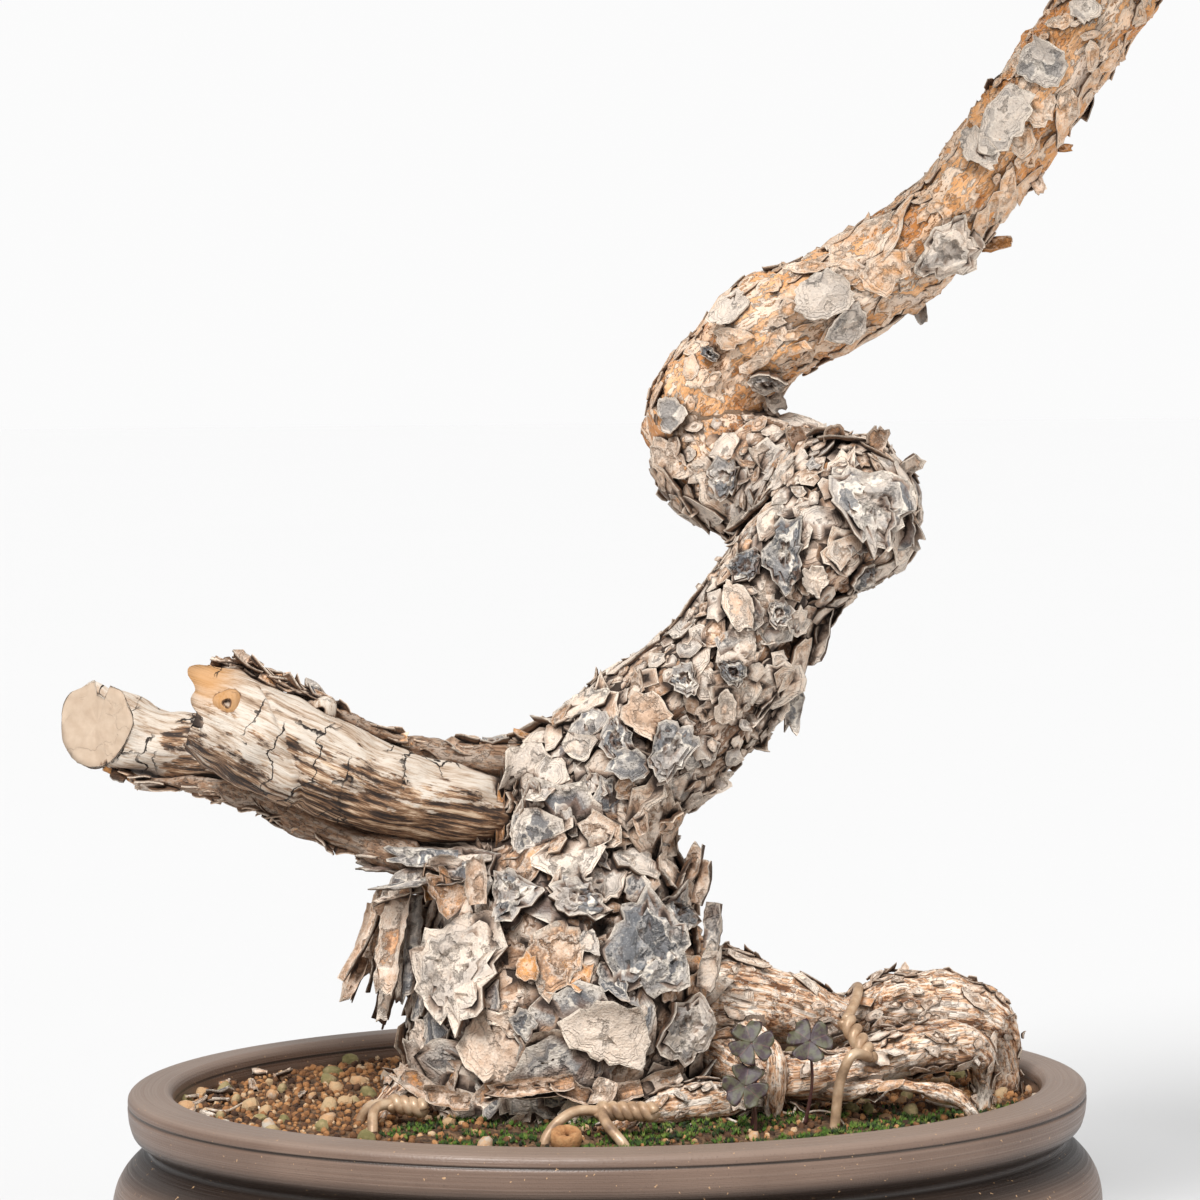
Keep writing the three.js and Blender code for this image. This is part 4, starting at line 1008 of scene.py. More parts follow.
surface = BVHTree.FromObject(core, bpy.context.evaluated_depsgraph_get())
placed = {name: placedPlates(name + "Marks", surface, rows)
          for name, rows in (("rosettes", rosettePlates), ("slabs", slabPlates))}
marks = joined([bpy.data.objects.new("marks", piece.data.copy()) for piece in placed.values()], "allMarks")
for seed, (name, shapes, (low, high), sizes) in enumerate(barkPasses):
    values = {**dict(zip(passSizes, map(float, sizes))), "Clear Of": marks, "Shapes": shelves[shapes],
              "From": float(low), "To": float(high), "Seed": seed * 20, "Material": weathered}
    bark.append(laidOn(core, plates, name + "Plates", values))
for name, piece in placed.items():
    bark.append(laidOn(core, plates, name[:-1] + "Plates", {
        "Placed": piece, "Clear Of": marks, "Shapes": shelves[name], "Spacing": 0.01, "From": 90.0, "To": 91.0,
        "Thickness": 0.0022 if name == "rosettes" else 0.0014, "Material": weathered}))
for piece in bark[1:]:
    piece.data.set_sharp_from_angle(angle=crisp)
bpy.data.objects.remove(marks)


# Loose bark: thin ragged flakes that stand off the tree, each bent and curled in its own way


class Flakes:
    def __init__(self, seed):
        self.draw = random.Random(seed)
        self.points, self.faces, self.tones, self.edges = [], [], [], []

    def add(self, foot, out, up, width, length, tone, bend=0.0, curl=0.0, thick=0.7, cell=1.8, ragged=0.32, dark=0.0):
        # From its foot it grows along up and faces out. The foot is in metres and the sizes in millimetres.
        draw = self.draw
        up = unit(np.asarray(up, float))
        side = unit(np.cross(up, out))
        out = np.cross(side, up)
        columns, rows = max(4, round(width / cell)), max(4, round(length / cell))
        waves = [(draw.uniform(1, 5), draw.uniform(1, 7), draw.uniform(0, 6.3), draw.uniform(0, 6.3))
                 for i in range(4)]
        left, right, tips = (self.raggedLine(count + 1, ragged) for count in (rows, rows, columns))
        sheet, edges = [], []
        for r in range(rows + 1):
            t = r / rows
            half = width / 2 * (0.72 + 0.28 * math.sin(math.pi * min(t * 0.9 + 0.08, 1)))
            for c in range(columns + 1):
                s = 2 * c / columns - 1
                x = s * half * (left[r] if s < 0 else right[r])
                y = length * t * (tips[c] if t > 0 else 1)
                z = bend * t * t + curl * s * s
                z += 0.05 * width * sum(math.sin(a * s + p) * math.sin(b * t + q) for a, b, p, q in waves)
                sheet.append(side * x + up * y + out * z)
                # dark raises the edge share, so that more of the flake takes the cream rim and the dark underside
                # colour; it paints shade.
                edges.append(dark + max(abs(s), 2 * t - 1) ** 2)
        sheet = np.array(sheet) * 0.001 + foot
        self.faces += sheetFaces(rows, columns, len(self.points))
        self.points += [*sheet, *(sheet - out * thick * 0.001)]
        self.tones += [tone] * (2 * len(sheet))
        # The backs take the plates' underside colour, painted shade.
        self.edges += [*edges, *([1.3] * len(sheet))]

    def raggedLine(self, count, ragged):
        # Bites of a few cells each, with a little tooth on them.
        draw, line, bite = self.draw, [], 0.5
        for i in range(count):
            bite = draw.random() if draw.random() < 0.38 else bite
            line.append(1 - ragged * (0.75 * bite + 0.35 * draw.random()))
        return line

    def addPictured(self, across, down, depth, angle, facing, width, length, tone, bend=0.0, curl=0.0,
                    carried=True, **more):
        # The foot shows at this place of the picture, at a depth behind the tree's middle.
        sight, away = sightLine(across, down), toFrame([0, 1000, 0])[0]
        foot = eye + sight * (depth * 0.001 - eye @ away) / (sight @ away)
        near, normal, face, gap = surface.find_nearest(Vector(foot))
        if carried and gap > 0.001 and (Vector(foot) - near).dot(normal) > 0:
            # It stands clear of the tree, so it slides along the line of sight to the nearest bark.
            along = [surface.find_nearest(Vector(foot + sight * shift * 0.001)) for shift in range(-60, 61)]
            foot = np.array(min(along, key=lambda found: found[3])[0])
        turn, swing = math.radians(angle), math.radians(facing)
        up = axes @ np.array([math.cos(turn), math.sin(turn), 0])
        toViewer = axes[:, 2]
        out = toViewer * math.cos(swing) + np.cross(up, toViewer) * math.sin(swing)
        self.add(foot, out, up, width, length, tone, bend, curl, **more)

    def piece(self, name):
        piece = addPiece(name, self.points, self.faces, weathered)
        setAttribute(piece.data, "tone", self.tones)
        setAttribute(piece.data, "edge", self.edges)
        piece.data.set_sharp_from_angle(angle=crisp)
        return piece


# across, down, depth, angle, facing, width, length, tone, bend, curl
baseFlakes = [
    # shelf of old bark under the bare stub
    (500, 868, -16, 176, 48, 13, 47, 0.28, -2, 2), (492, 852, -12, 180, 62, 14, 46, 0.40, 1, 1),
    (476, 872, -22, 186, 35, 9, 34, 0.22, -2, 2), (500, 858, -6, 174, 68, 15, 42, 0.50, 2, 1),
    (458, 858, -20, 178, 20, 7, 25, 0.16, 0, 1), (440, 880, -14, 194, 45, 8, 24, 0.60, -2, 1),
    # curtains hanging from it
    (404, 885, -14, 262, 25, 10, 36, 0.70, 3, 2), (392, 890, -6, 254, 50, 8, 35, 0.76, -2, 3),
    (414, 895, -12, 266, 15, 6, 36, 0.30, 2, -2), (380, 915, -10, 250, 60, 6, 24, 0.66, 3, 2),
    (366, 958, -9, 252, 20, 5, 14, 0.72, 3, 2), (396, 960, -10, 262, 30, 6, 20, 0.46, 2, 2),
    (378, 905, 4, 256, 30, 7, 30, 0.74, 2, 3),
    # folded young bark over the shelf
    (458, 912, -24, 125, 15, 11, 15, 0.86, 3, 2), (432, 900, -18, 100, 35, 10, 13, 0.92, 3, 2),
    (470, 878, -21, 165, 30, 8, 14, 0.56, 2, 3), (478, 904, -30, 95, 0, 8, 15, 0.58, 2, 3),
    # the lip beside the bare stub
    (499, 862, -9, 88, 0, 3.2, 27, 0.82, 1, 1), (505, 864, -8, 91, 0, 2.6, 30, 0.76, 1, 1),
    (492, 862, -7, 86, 15, 2.4, 24, 0.90, 1, 1),
    # long brown skirts at the foot
    (574, 1082, -45, 187, 10, 6, 30, 0.76, 1, 2), (560, 1094, -45, 182, 30, 5, 25, 0.76, 2, 2),
    (436, 1098, -30, 150, 20, 8, 18, 0.74, 3, 2), (420, 1080, -26, 120, 40, 7, 15, 0.45, 3, 2),
    (642, 1088, -40, 195, 10, 7, 20, 0.76, 2, 2), (680, 1072, -34, 205, 0, 7, 16, 0.70, 2, 2),
    (500, 1080, -44, 230, 10, 7, 11, 0.74, 3, 2), (610, 1080, -42, 250, 10, 9, 9, 0.66, 3, 2),
    (590, 1100, -44, 160, 20, 7, 14, 0.78, 2, 2), (470, 1104, -38, 170, 20, 7, 16, 0.78, 2, 2),
    # right side of the base
    (700, 905, -12, 72, -50, 8, 15, 0.50, 2, 2), (712, 950, -14, 76, -45, 8, 16, 0.33, 2, 2),
    (690, 880, -10, 60, -50, 7, 12, 0.66, 2, 2), (706, 990, -22, 70, -30, 8, 14, 0.45, 2, 2),
]
# Flakes darkened as painted shade, standing in for the shadow in the cavity behind the curtains.
shadeFlakes = [  # in the cavity behind the curtains
    (410, 905, 4, 264, 30, 10, 34, 0.6, 2, 3), (424, 905, 6, 268, 10, 11, 38, 0.6, -2, 3),
    (404, 930, 14, 262, 60, 10, 30, 0.6, 2, 3), (430, 960, 10, 266, 0, 9, 28, 0.6, 2, 2),
]
trunkFlakes = [
    # waist, right side
    (650, 868, -16, 68, -35, 6, 13, 0.74, 2, 2), (656, 852, -14, 30, -20, 5, 10, 0.70, 2, 2),
    (636, 800, -20, 290, 20, 6, 12, 0.66, 2, 2), (738, 772, -6, 48, -30, 7, 15, 0.66, 2, 2),
    (726, 756, -6, 18, -40, 6, 13, 0.58, 2, 2), (744, 735, -6, 330, -20, 6, 10, 0.70, 2, 2),
    (690, 800, -8, 40, -30, 6, 12, 0.78, 2, 1), (700, 790, -10, 20, 0, 6, 12, 0.40, 2, 2),
    # along the lower trunk's right side
    (786, 662, -10, 250, -20, 12, 25, 0.42, -2, 3), (800, 680, -4, 256, -30, 8, 19, 0.30, 3, 2),
    (830, 606, -4, 262, 40, 8, 19, 0.34, 3, 2), (842, 590, -2, 250, 20, 7, 14, 0.50, 2, 2),
    (770, 690, -12, 235, 10, 8, 14, 0.55, 2, 2), (758, 705, -8, 215, -20, 7, 12, 0.85, 2, 2),
    (820, 640, -8, 240, 20, 7, 12, 0.28, 2, 2), (866, 560, -2, 280, 30, 6, 10, 0.40, 2, 1),
    # along its left side
    (652, 650, 0, 40, 55, 9, 22, 0.30, 3, 2), (662, 640, 2, 36, 60, 8, 18, 0.42, 4, 2),
    (676, 628, -2, 44, 40, 9, 16, 0.22, 3, 2), (640, 664, -2, 34, 50, 6, 16, 0.92, 2, 1),
    (610, 690, 0, 36, 55, 6, 14, 0.72, 2, 1), (582, 706, 0, 30, 55, 6, 13, 0.60, 2, 1),
    (722, 556, -2, 165, 0, 2, 5, 0.70, 0, 0), (712, 590, 0, 60, 50, 6, 10, 0.50, 2, 1),
    # elbow
    (882, 478, -12, 290, 10, 18, 20, 0.24, 2, 4), (862, 500, -16, 278, 0, 18, 19, 0.20, 3, 4),
    (898, 505, -2, 295, 40, 12, 15, 0.24, 3, 3), (900, 475, 0, 60, 40, 8, 9, 0.46, 2, 2),
    (872, 452, 4, 80, 20, 8, 9, 0.68, 2, 2), (836, 448, 6, 100, 0, 8, 8, 0.74, 2, 2),
    (800, 450, 8, 115, 10, 7, 8, 0.64, 2, 2), (905, 520, 0, 310, 30, 8, 10, 0.40, 2, 2),
    (770, 470, 40, 130, 20, 7, 10, 0.55, 2, 2), (745, 520, 56, 250, 0, 7, 10, 0.40, 2, 2),
    # upper trunk
    (903, 292, 36, 96, 30, 6, 18, 0.46, 4, 2), (988, 252, 40, 8, 0, 6, 11, 0.95, 1, 1),
    (1092, 88, 30, 262, 30, 5, 12, 0.74, 2, 2), (1058, 149, 34, 2, 0, 3, 6, 0.97, 0, 0),
    (662, 470, 66, 100, 40, 4, 8, 0.56, 2, 1), (770, 392, 52, 300, 0, 7, 9, 0.35, 2, 2),
    (780, 406, 56, 200, 0, 5, 8, 0.70, 2, 1), (762, 440, 50, 230, 0, 8, 10, 0.66, 2, 1),
    (785, 262, 44, 40, 55, 4, 6, 0.66, 2, 1), (730, 292, 50, 60, 60, 4, 6, 0.62, 2, 1),
    (990, 90, 22, 70, 60, 4, 6, 0.60, 2, 1), (862, 228, 36, 50, 60, 4, 6, 0.64, 2, 1),
    (918, 300, 40, 280, 0, 5, 8, 0.30, 2, 1), (968, 230, 30, 300, 0, 5, 8, 0.40, 2, 1),
    (1032, 175, 26, 300, 0, 5, 8, 0.66, 2, 1), (668, 360, 60, 80, 60, 4, 6, 0.60, 2, 1),
    (657, 425, 62, 100, 60, 4, 6, 0.40, 2, 1), (700, 500, 58, 240, 20, 6, 8, 0.60, 2, 1),
]


def alongStrip(flakes, limb, count, upper, tones, crowded):
    # Ragged bark left on one side of a bare stub, most of it at some shares of its length.
    draw = flakes.draw
    rise = np.array([0, 0, 1.0])
    for i in range(count):
        share = draw.random() if draw.random() < 0.35 else draw.gauss(draw.choice(crowded), 0.07)
        k = int(min(max(share, 0.01), 0.97) * len(limb.points))
        tangent = limb.tangents[k]
        over = np.cross(tangent, rise)
        out = unit((rise if upper else -rise) + 0.9 * draw.uniform(-1, 1) * over + draw.uniform(-0.2, 0.2) * tangent)
        up = unit(tangent * draw.choice((-1, 1)) + 0.16 * out * draw.random() + 0.25 * draw.uniform(-1, 1) * over)
        foot = limb.points[k] + out * (limb.radii[k] * draw.uniform(0.1, 1.0) - 0.0005)
        flakes.add(foot, out, up, draw.uniform(3.5, 8), draw.uniform(5, 12), draw.choice(tones),
                   draw.uniform(-1, 2.5), draw.uniform(-1.5, 1.5))


def collarOf(flakes, limb, at, count):
    # The lip where the tree has grown round the foot of the bare stub.
    k = int(np.searchsorted(limb.along, at))
    for i in range(count):
        a = 2 * math.pi * (i + flakes.draw.uniform(-0.3, 0.3)) / count
        radial = limb.ring(k, np.array([a]))[0]
        foot = limb.points[k] + radial * (limb.radii[k] * 0.75)
        flakes.add(foot, limb.tangents[k], radial, 9, flakes.draw.uniform(5, 8.5),
                   flakes.draw.choice((0.45, 0.58, 0.74, 0.86)), flakes.draw.uniform(1, 4), 1, thick=1.4)


thickStub = Limb(stubStations["thick"], 0.7)
flakes = Flakes(31)
for row in baseFlakes:
    flakes.addPictured(*row, carried=False)
# the flakes in the cavity, darkened as painted shade
for row in shadeFlakes:
    flakes.addPictured(*row, carried=False, dark=0.4)
collarOf(flakes, thickStub, 0.016, 15)
collarOf(flakes, thickStub, 0.012, 13)
bark.append(flakes.piece("looseBaseBark"))
flakes = Flakes(32)
for row in trunkFlakes:
    flakes.addPictured(*row, cell=1.5)
bark.append(flakes.piece("looseTrunkBark"))
flakes = Flakes(33)
alongStrip(flakes, stripLimbs[0], 110, True, (0.14, 0.5, 0.66, 0.74, 0.78, 0.78, 0.8, 0.97),
           (0.16, 0.25, 0.34, 0.84, 0.93))
alongStrip(flakes, stripLimbs[1], 64, False, (0.50, 0.66, 0.76, 0.79, 0.94, 0.98), (0.25, 0.45, 0.6))
bark.append(flakes.piece("stubBark"))

bpy.data.objects.remove(core)
print("bark is on")


# Bare wood: a thick stub with a torn end and a thinner one behind it, sawn off on the slant

woodSettings = {
    "cutPlace": (-141, 20, 186),
    "cutFacing": (-0.76, -0.56, 0.33),
    "notch": (101, 686, 0.0042, 0.0050),  # across and down in the picture, depth, length along the stub
    "knob": ((-82, -14, 193), 4.0),
    "knot": ((-107.5, -27.3, 197), 3.3),
    "sides": 110,
}


def woodTree():
    tree, n, given, result = geometryTree("woodRelief", [("Fibre Depth", "Float")])
    flow = n.stored("flow", "FLOAT_VECTOR")
    fibres = n.math("SUBTRACT", n.noise(n.vector("MULTIPLY", flow, (1, 1, 0.12)), 420, 3), 0.5)
    swell = n.math("SUBTRACT", n.noise(flow, 60, 2), 0.5)
    height = n.math("MULTIPLY_ADD", swell, 0.0035, n.math("MULTIPLY", fibres, given["Fibre Depth"]))
    normal = n.add("GeometryNodeInputNormal")
    made = n.add("GeometryNodeSetPosition", given["Geometry"], None, None, n.scaled(normal, height))
    n.tree.links.new(made, result)
    return tree


def bareWood():
    material, n, surface = materialNodes("bareWood")
    flow = n.fact("flow", "Vector")
    rot = n.fact("rot")
    amber = n.fact("amber")
    sawn = n.fact("sawn")
    warp = n.scaled(n.vector("SUBTRACT", n.noise(flow, 170, 3, out=1), (0.5, 0.5, 0.5)), 0.010)
    cells = n.vector("DIVIDE", n.vector("ADD", flow, warp), (0.030, 0.030, 0.0115))
    border = n.add("ShaderNodeTexVoronoi", named={"Vector": cells, "Scale": 1.0}, feature="DISTANCE_TO_EDGE")
    crack = n.math("MULTIPLY", n.ramp(border, 0.006, 0.022, 1.0, 0.0), n.ramp(n.noise(flow, 42, 2), 0.45, 0.52))
    streaks = n.noise(n.vector("MULTIPLY", flow, (1, 1, 0.09)), 620, 5, 0.72)
    flecks = n.noise(n.vector("MULTIPLY", flow, (1, 1, 0.30)), 460, 4, 0.7)
    broad = n.noise(n.vector("MULTIPLY", flow, (1, 1, 0.35)), 95, 4)
    clean = colourRamp(n, streaks, [
        (0.34, (0.22, 0.135, 0.08)), (0.43, (0.47, 0.34, 0.24)), (0.51, (0.64, 0.54, 0.44)),
        (0.61, (0.72, 0.64, 0.55)), (0.72, (0.50, 0.38, 0.28)),
    ])
    dark = colourRamp(n, streaks, [
        (0.38, (0.018, 0.010, 0.007)), (0.46, (0.062, 0.032, 0.018)), (0.54, (0.30, 0.16, 0.08)),
        (0.62, (0.70, 0.52, 0.36)),
    ])
    # rot, with painted shade on the stubs' undersides, darkens the wood
    share = n.swayed(rot, broad, 2.4)
    share = n.swayed(share, flecks, 2.6)
    colour = n.mixed(n.ramp(share, 0.24, 0.54), clean, dark)
    colour = n.mixed(n.math("MULTIPLY", amber, 0.85), colour, (0.55, 0.27, 0.085, 1))
    bare = n.math("SUBTRACT", 1.0, sawn)
    # the cracks in the bare wood painted near black: painted shade in them
    colour = n.mixed(n.math("MULTIPLY", crack, bare), colour, (0.020, 0.011, 0.007, 1))
    grain = n.noise(n.vector("MULTIPLY", flow, (1, 0.3, 1)), 330, 4)
    face = n.mixed(grain, (0.40, 0.28, 0.19, 1), (0.62, 0.49, 0.37, 1))
    # dirt and painted shade in the hollows
    colour = hollowShadeAndDirt(n, n.mixed(sawn, colour, face))
    height = n.math("MULTIPLY_ADD", crack, -1.6, n.math("MULTIPLY_ADD", broad, 0.4, streaks))
    finishSurface(n, surface, colour, 0.7, n.math("MULTIPLY", height, n.math("MULTIPLY_ADD", bare, 0.9, 0.1)), 0.0009)
    return material


def makeWood(settings):
    sides = settings["sides"]
    around = np.linspace(0, 2 * math.pi, sides, endpoint=False)
    toViewer, upward = axes[:, 2], axes[:, 1]
    tree, material = woodTree(), bareWood()
    parts = []
    for limb, name in ((thickStub, "thick"), (Limb(stubStations["thin"], 0.9), "thin")):
        rings, flows, rotAndShadeShares, torn = [], [], [], []
        total = limb.along[-1]
        for k, centre in enumerate(limb.points):
            out = limb.ring(k, around)
            high, front = out @ upward, out @ toViewer
            share = limb.along[k] / total
            reach = limb.radii[k] + 0.0004 * np.sin(5 * around + 30 * share)
            if name == "thick":
                # the torn sheath near the end stands proud of the wood that comes out of it
                lip = 0.80 + 0.13 * high - 0.05 * front
                sheath = smoothstep(lip - 0.012, lip + 0.012, share)
                reach = reach + 0.0014 * sheath - 0.0012 * smoothstep(0.1, 0.0, np.abs(share - lip) * 8)
                reach = reach * (1 - 0.10 * smoothstep(0.93, 1.0, share) * (1 + np.sin(4 * around)))
                # Rot, less of it under the torn sheath and more towards the trunk; more too on the underside, which is
                # painted shade.
                rotAndShadeShares.append(0.50 - 0.85 * high - 0.55 * sheath + 0.40 * smoothstep(0.55, 0.0, share))
                torn.append(smoothstep(0.90, 0.99, share) * smoothstep(-0.1, 0.6, high))
            else:
                # Rot, none towards the sawn end; more on the underside and on the side turned from the viewer, which
                # is painted shade.
                rotAndShadeShares.append(0.62 - 0.25 * high - 0.1 * front - 1.2 * smoothstep(0.56, 0.70, share))
            rings.append(centre + out * reach[:, None])
            flows.append(np.column_stack([
                limb.radii[k] * np.cos(around), limb.radii[k] * np.sin(around), np.full(sides, limb.along[k])]))
        points = np.vstack([*rings, limb.points[0], limb.points[-1]])
        flows = np.vstack([*flows, (0, 0, 0), (0, 0, total)])
        rotAndShadeShares = np.concatenate([*rotAndShadeShares, [0.5], [0.5]])
        if name == "thick":
            # a hollow, ragged end
            end = len(rings) - 1
            axis = limb.tangents[-1]
            out = limb.ring(end, around)
            jag = 0.0022 * np.sin(3 * around + 1) + 0.0016 * np.sin(8 * around) + 0.004 * (out @ upward)
            points[end * sides:(end + 1) * sides] += np.outer(jag, axis)
            points[-1] -= axis * 0.006
        sawn = np.zeros(len(points))
        if name == "thin":
            points, flows, rotAndShadeShares, sawn, rings = sawOff(points, flows, rotAndShadeShares, len(rings), sides, settings)
        wood = addPiece(name, points, tubeFaces(rings if name == "thin" else len(rings), sides), material)
        setAttribute(wood.data, "flow", flows, "FLOAT_VECTOR")
        setAttribute(wood.data, "rot", rotAndShadeShares)
        setAttribute(wood.data, "sawn", sawn)
        setAttribute(wood.data, "amber", np.concatenate([*torn, [0, 0]]) if torn else np.zeros(len(points)))
        grow(wood, tree, {"Fibre Depth": 0.0011})
        parts.append(wood)
    for key, amber in (("knob", 0.0), ("knot", 1.0)):
        place, radius = settings[key]
        lump = makeLump(key, toFrame(place)[0], radius * 0.001, material, amber)
        parts.append(lump)
    wood = joined(parts, "deadwoodStubs")
    weld = wood.modifiers.new("weld", "WELD")
    weld.merge_threshold = 2e-6
    settle(wood)
    wood.data.shade_smooth()
    return wood


def sawOff(points, flows, rotAndShadeShares, count, sides, settings):
    # Each line along the stub stops where it meets the saw's plane, and rings close the face.
    place = toFrame(settings["cutPlace"])[0]
    facing = np.array(settings["cutFacing"])
    grid = points[:count * sides].reshape(count, sides, 3).copy()
    beyond = (grid - place) @ facing
    for i in range(sides):
        k = int(np.argmax(beyond[:, i] > 0))
        share = beyond[k - 1, i] / (beyond[k - 1, i] - beyond[k, i])
        grid[k:, i] = grid[k - 1, i] + (grid[k, i] - grid[k - 1, i]) * share
    # a notch in the upper edge
    across, down, depth, length = settings["notch"]
    nearest = int((unit(grid[-1] - eye) @ sightLine(across, down)).argmax())
    middle = grid[-1].mean(axis=0)
    inward = unit(middle - grid[-1, nearest])
    behind = (grid - place) @ facing
    for step, share in ((-3, 0.5), (-2, 1), (-1, 1), (0, 1), (1, 1), (2, 1), (3, 0.5)):
        i = (nearest + step) % sides
        grid[:, i] += np.outer(smoothstep(-length, -0.7 * length, behind[:, i]) * depth * share, inward)
    rim = grid[-1]
    inner = [middle + (rim - middle) * share for share in (0.998, 0.85, 0.7, 0.55, 0.4, 0.25, 0.1)]
    size = len(inner) * sides
    points = np.vstack([grid.reshape(-1, 3), *inner, points[-2], middle])
    flows = np.vstack([flows[:count * sides], np.vstack(inner) - middle, flows[-2], (0, 0, 0)])
    rotAndShadeShares = np.concatenate([rotAndShadeShares[:count * sides], np.zeros(size), [0.5], [0]])
    sawn = np.concatenate([np.zeros(count * sides), np.ones(size), [0], [1]])
    return points, flows, rotAndShadeShares, sawn, count + len(inner)


def makeLump(name, place, radius, material, amber):
    # A low rounded knot with a small dark hole.
    rings, sides, hole = 14, 28, 10
    points = []
    toViewer = axes[:, 2]
    side = unit(np.cross(toViewer, (0, 0, 1)))
    over = np.cross(side, toViewer)
    for i in range(rings):
        share = i / (rings - 1)
        reach = radius * (1.25 - 1.12 * share)
        height = radius * (math.sqrt(1 - (reach / radius / 1.26) ** 2) - 0.35 - 3 * max(share - 0.75, 0))
        for j in range(sides):
            a = 2 * math.pi * j / sides
            wobble = 1 + 0.1 * math.sin(3 * a + 1)
            points.append(place + (side * math.cos(a) + over * math.sin(a)) * reach * wobble + toViewer * height)
    points += [place - toViewer * radius * 0.5, place - toViewer * radius * 0.1]
    dark = np.array([amber and (hole * sides <= i < rings * sides or i > rings * sides) for i in range(len(points))])
    lump = addPiece(name, points, [face[::-1] for face in tubeFaces(rings, sides)], material)
    setAttribute(lump.data, "flow", np.asarray(points) - place, "FLOAT_VECTOR")
    setAttribute(lump.data, "rot", np.where(dark, 3.0, -0.2))
    setAttribute(lump.data, "amber", np.where(dark, 0.0, amber))
    setAttribute(lump.data, "sawn", np.zeros(len(points)))
    return lump


wood = makeWood(woodSettings)


# Hollows: how much stands close above each point of the bark and the wood, for the dirt and painted shade in them


def hollowTree():
    tree, n, given, result = geometryTree("hollows", [("Around", "Object"), ("Reach", "Float")])
    around = n.add("GeometryNodeObjectInfo", given["Around"], out="Geometry")
    normal = n.add("GeometryNodeInputNormal")
    start = n.vector("ADD", n.add("GeometryNodeInputPosition"), n.scaled(normal, 0.0003))
    hollow = 0.0
    leans = ((0, 0, 0), (0.9, 0, 0.3), (-0.9, 0, 0.3), (0, 0.9, 0.3), (0, -0.9, 0.3), (0, -0.3, -0.9))
    for lean in leans:
        named = {"Source Position": start, "Ray Direction": n.vector("ADD", normal, lean),
                 "Ray Length": given["Reach"]}
        cast = n.add("GeometryNodeRaycast", around, named=named, out=None).outputs
        closeness = n.math("SUBTRACT", 1.0, n.math("DIVIDE", cast["Hit Distance"], given["Reach"]))
        hollow = n.math("MULTIPLY_ADD", cast["Is Hit"], closeness, hollow)
    hollow = n.math("DIVIDE", hollow, float(len(leans)))
    n.tree.links.new(n.store(given["Geometry"], "hollow", hollow), result)
    return tree


copies = [bpy.data.objects.new("copy", piece.data.copy()) for piece in [*bark, wood]]
everything = joined(copies, "everything")
hollows = hollowTree()
for piece in [*bark, wood]:
    grow(piece, hollows, {"Around": everything, "Reach": 0.0065})
    if piece is wood:
        finishPiece(piece, "deadwood", "deadwood_branch")
    else:
        finishPiece(piece, "bark", "trunk")
bpy.data.objects.remove(everything)
print("hollows are marked")


# Pot: the wall's profile swept round an oval

potSettings = {
    "rimInside": (0.127, 0.1025),
    "rimHeight": 0.084,
    "floorTop": 0.012,
    "sides": 256,
    "perSpan": 3,
    # distance out from the rim's inner edge and height, in millimetres, from the inside over the rim to the foot
    "profile": [
        (-14, 12), (4, 26), (8, 40), (6.5, 52), (2.5, 59), (-1, 65), (-1.2, 74), (-1.0, 81.5), (0.4, 83.7), (2.2, 84),
        (9.4, 83.6), (11.2, 83.0), (12.0, 82.0), (12.15, 80.6), (11.75, 80.0), (12.2, 79.2), (12.1, 77.5),
        (11.8, 75.0), (10.8, 71.8), (9.2, 70.0), (7.0, 68.4), (6.4, 67), (7.4, 65.9), (10.5, 63.6),
        (13.3, 60.5), (15.4, 56.8), (16.5, 53), (16.9, 49), (16.9, 43), (14.4, 32.5), (8.5, 21.5),
        (-1, 11), (-7.6, 6.4), (-8.7, 4.6), (-9, 2.0), (-9.4, 0.4), (-10, 0),
    ],
    "holes": (0.055, 0.009),
    "grooves": (0.012, 0.005),
}


def ovalPoint(settings, offset, angle):
    length, width = settings["rimInside"]
    nx, ny = math.cos(angle) / length, math.sin(angle) / width
    size = math.hypot(nx, ny)
    return length * math.cos(angle) + offset * nx / size, width * math.sin(angle) + offset * ny / size


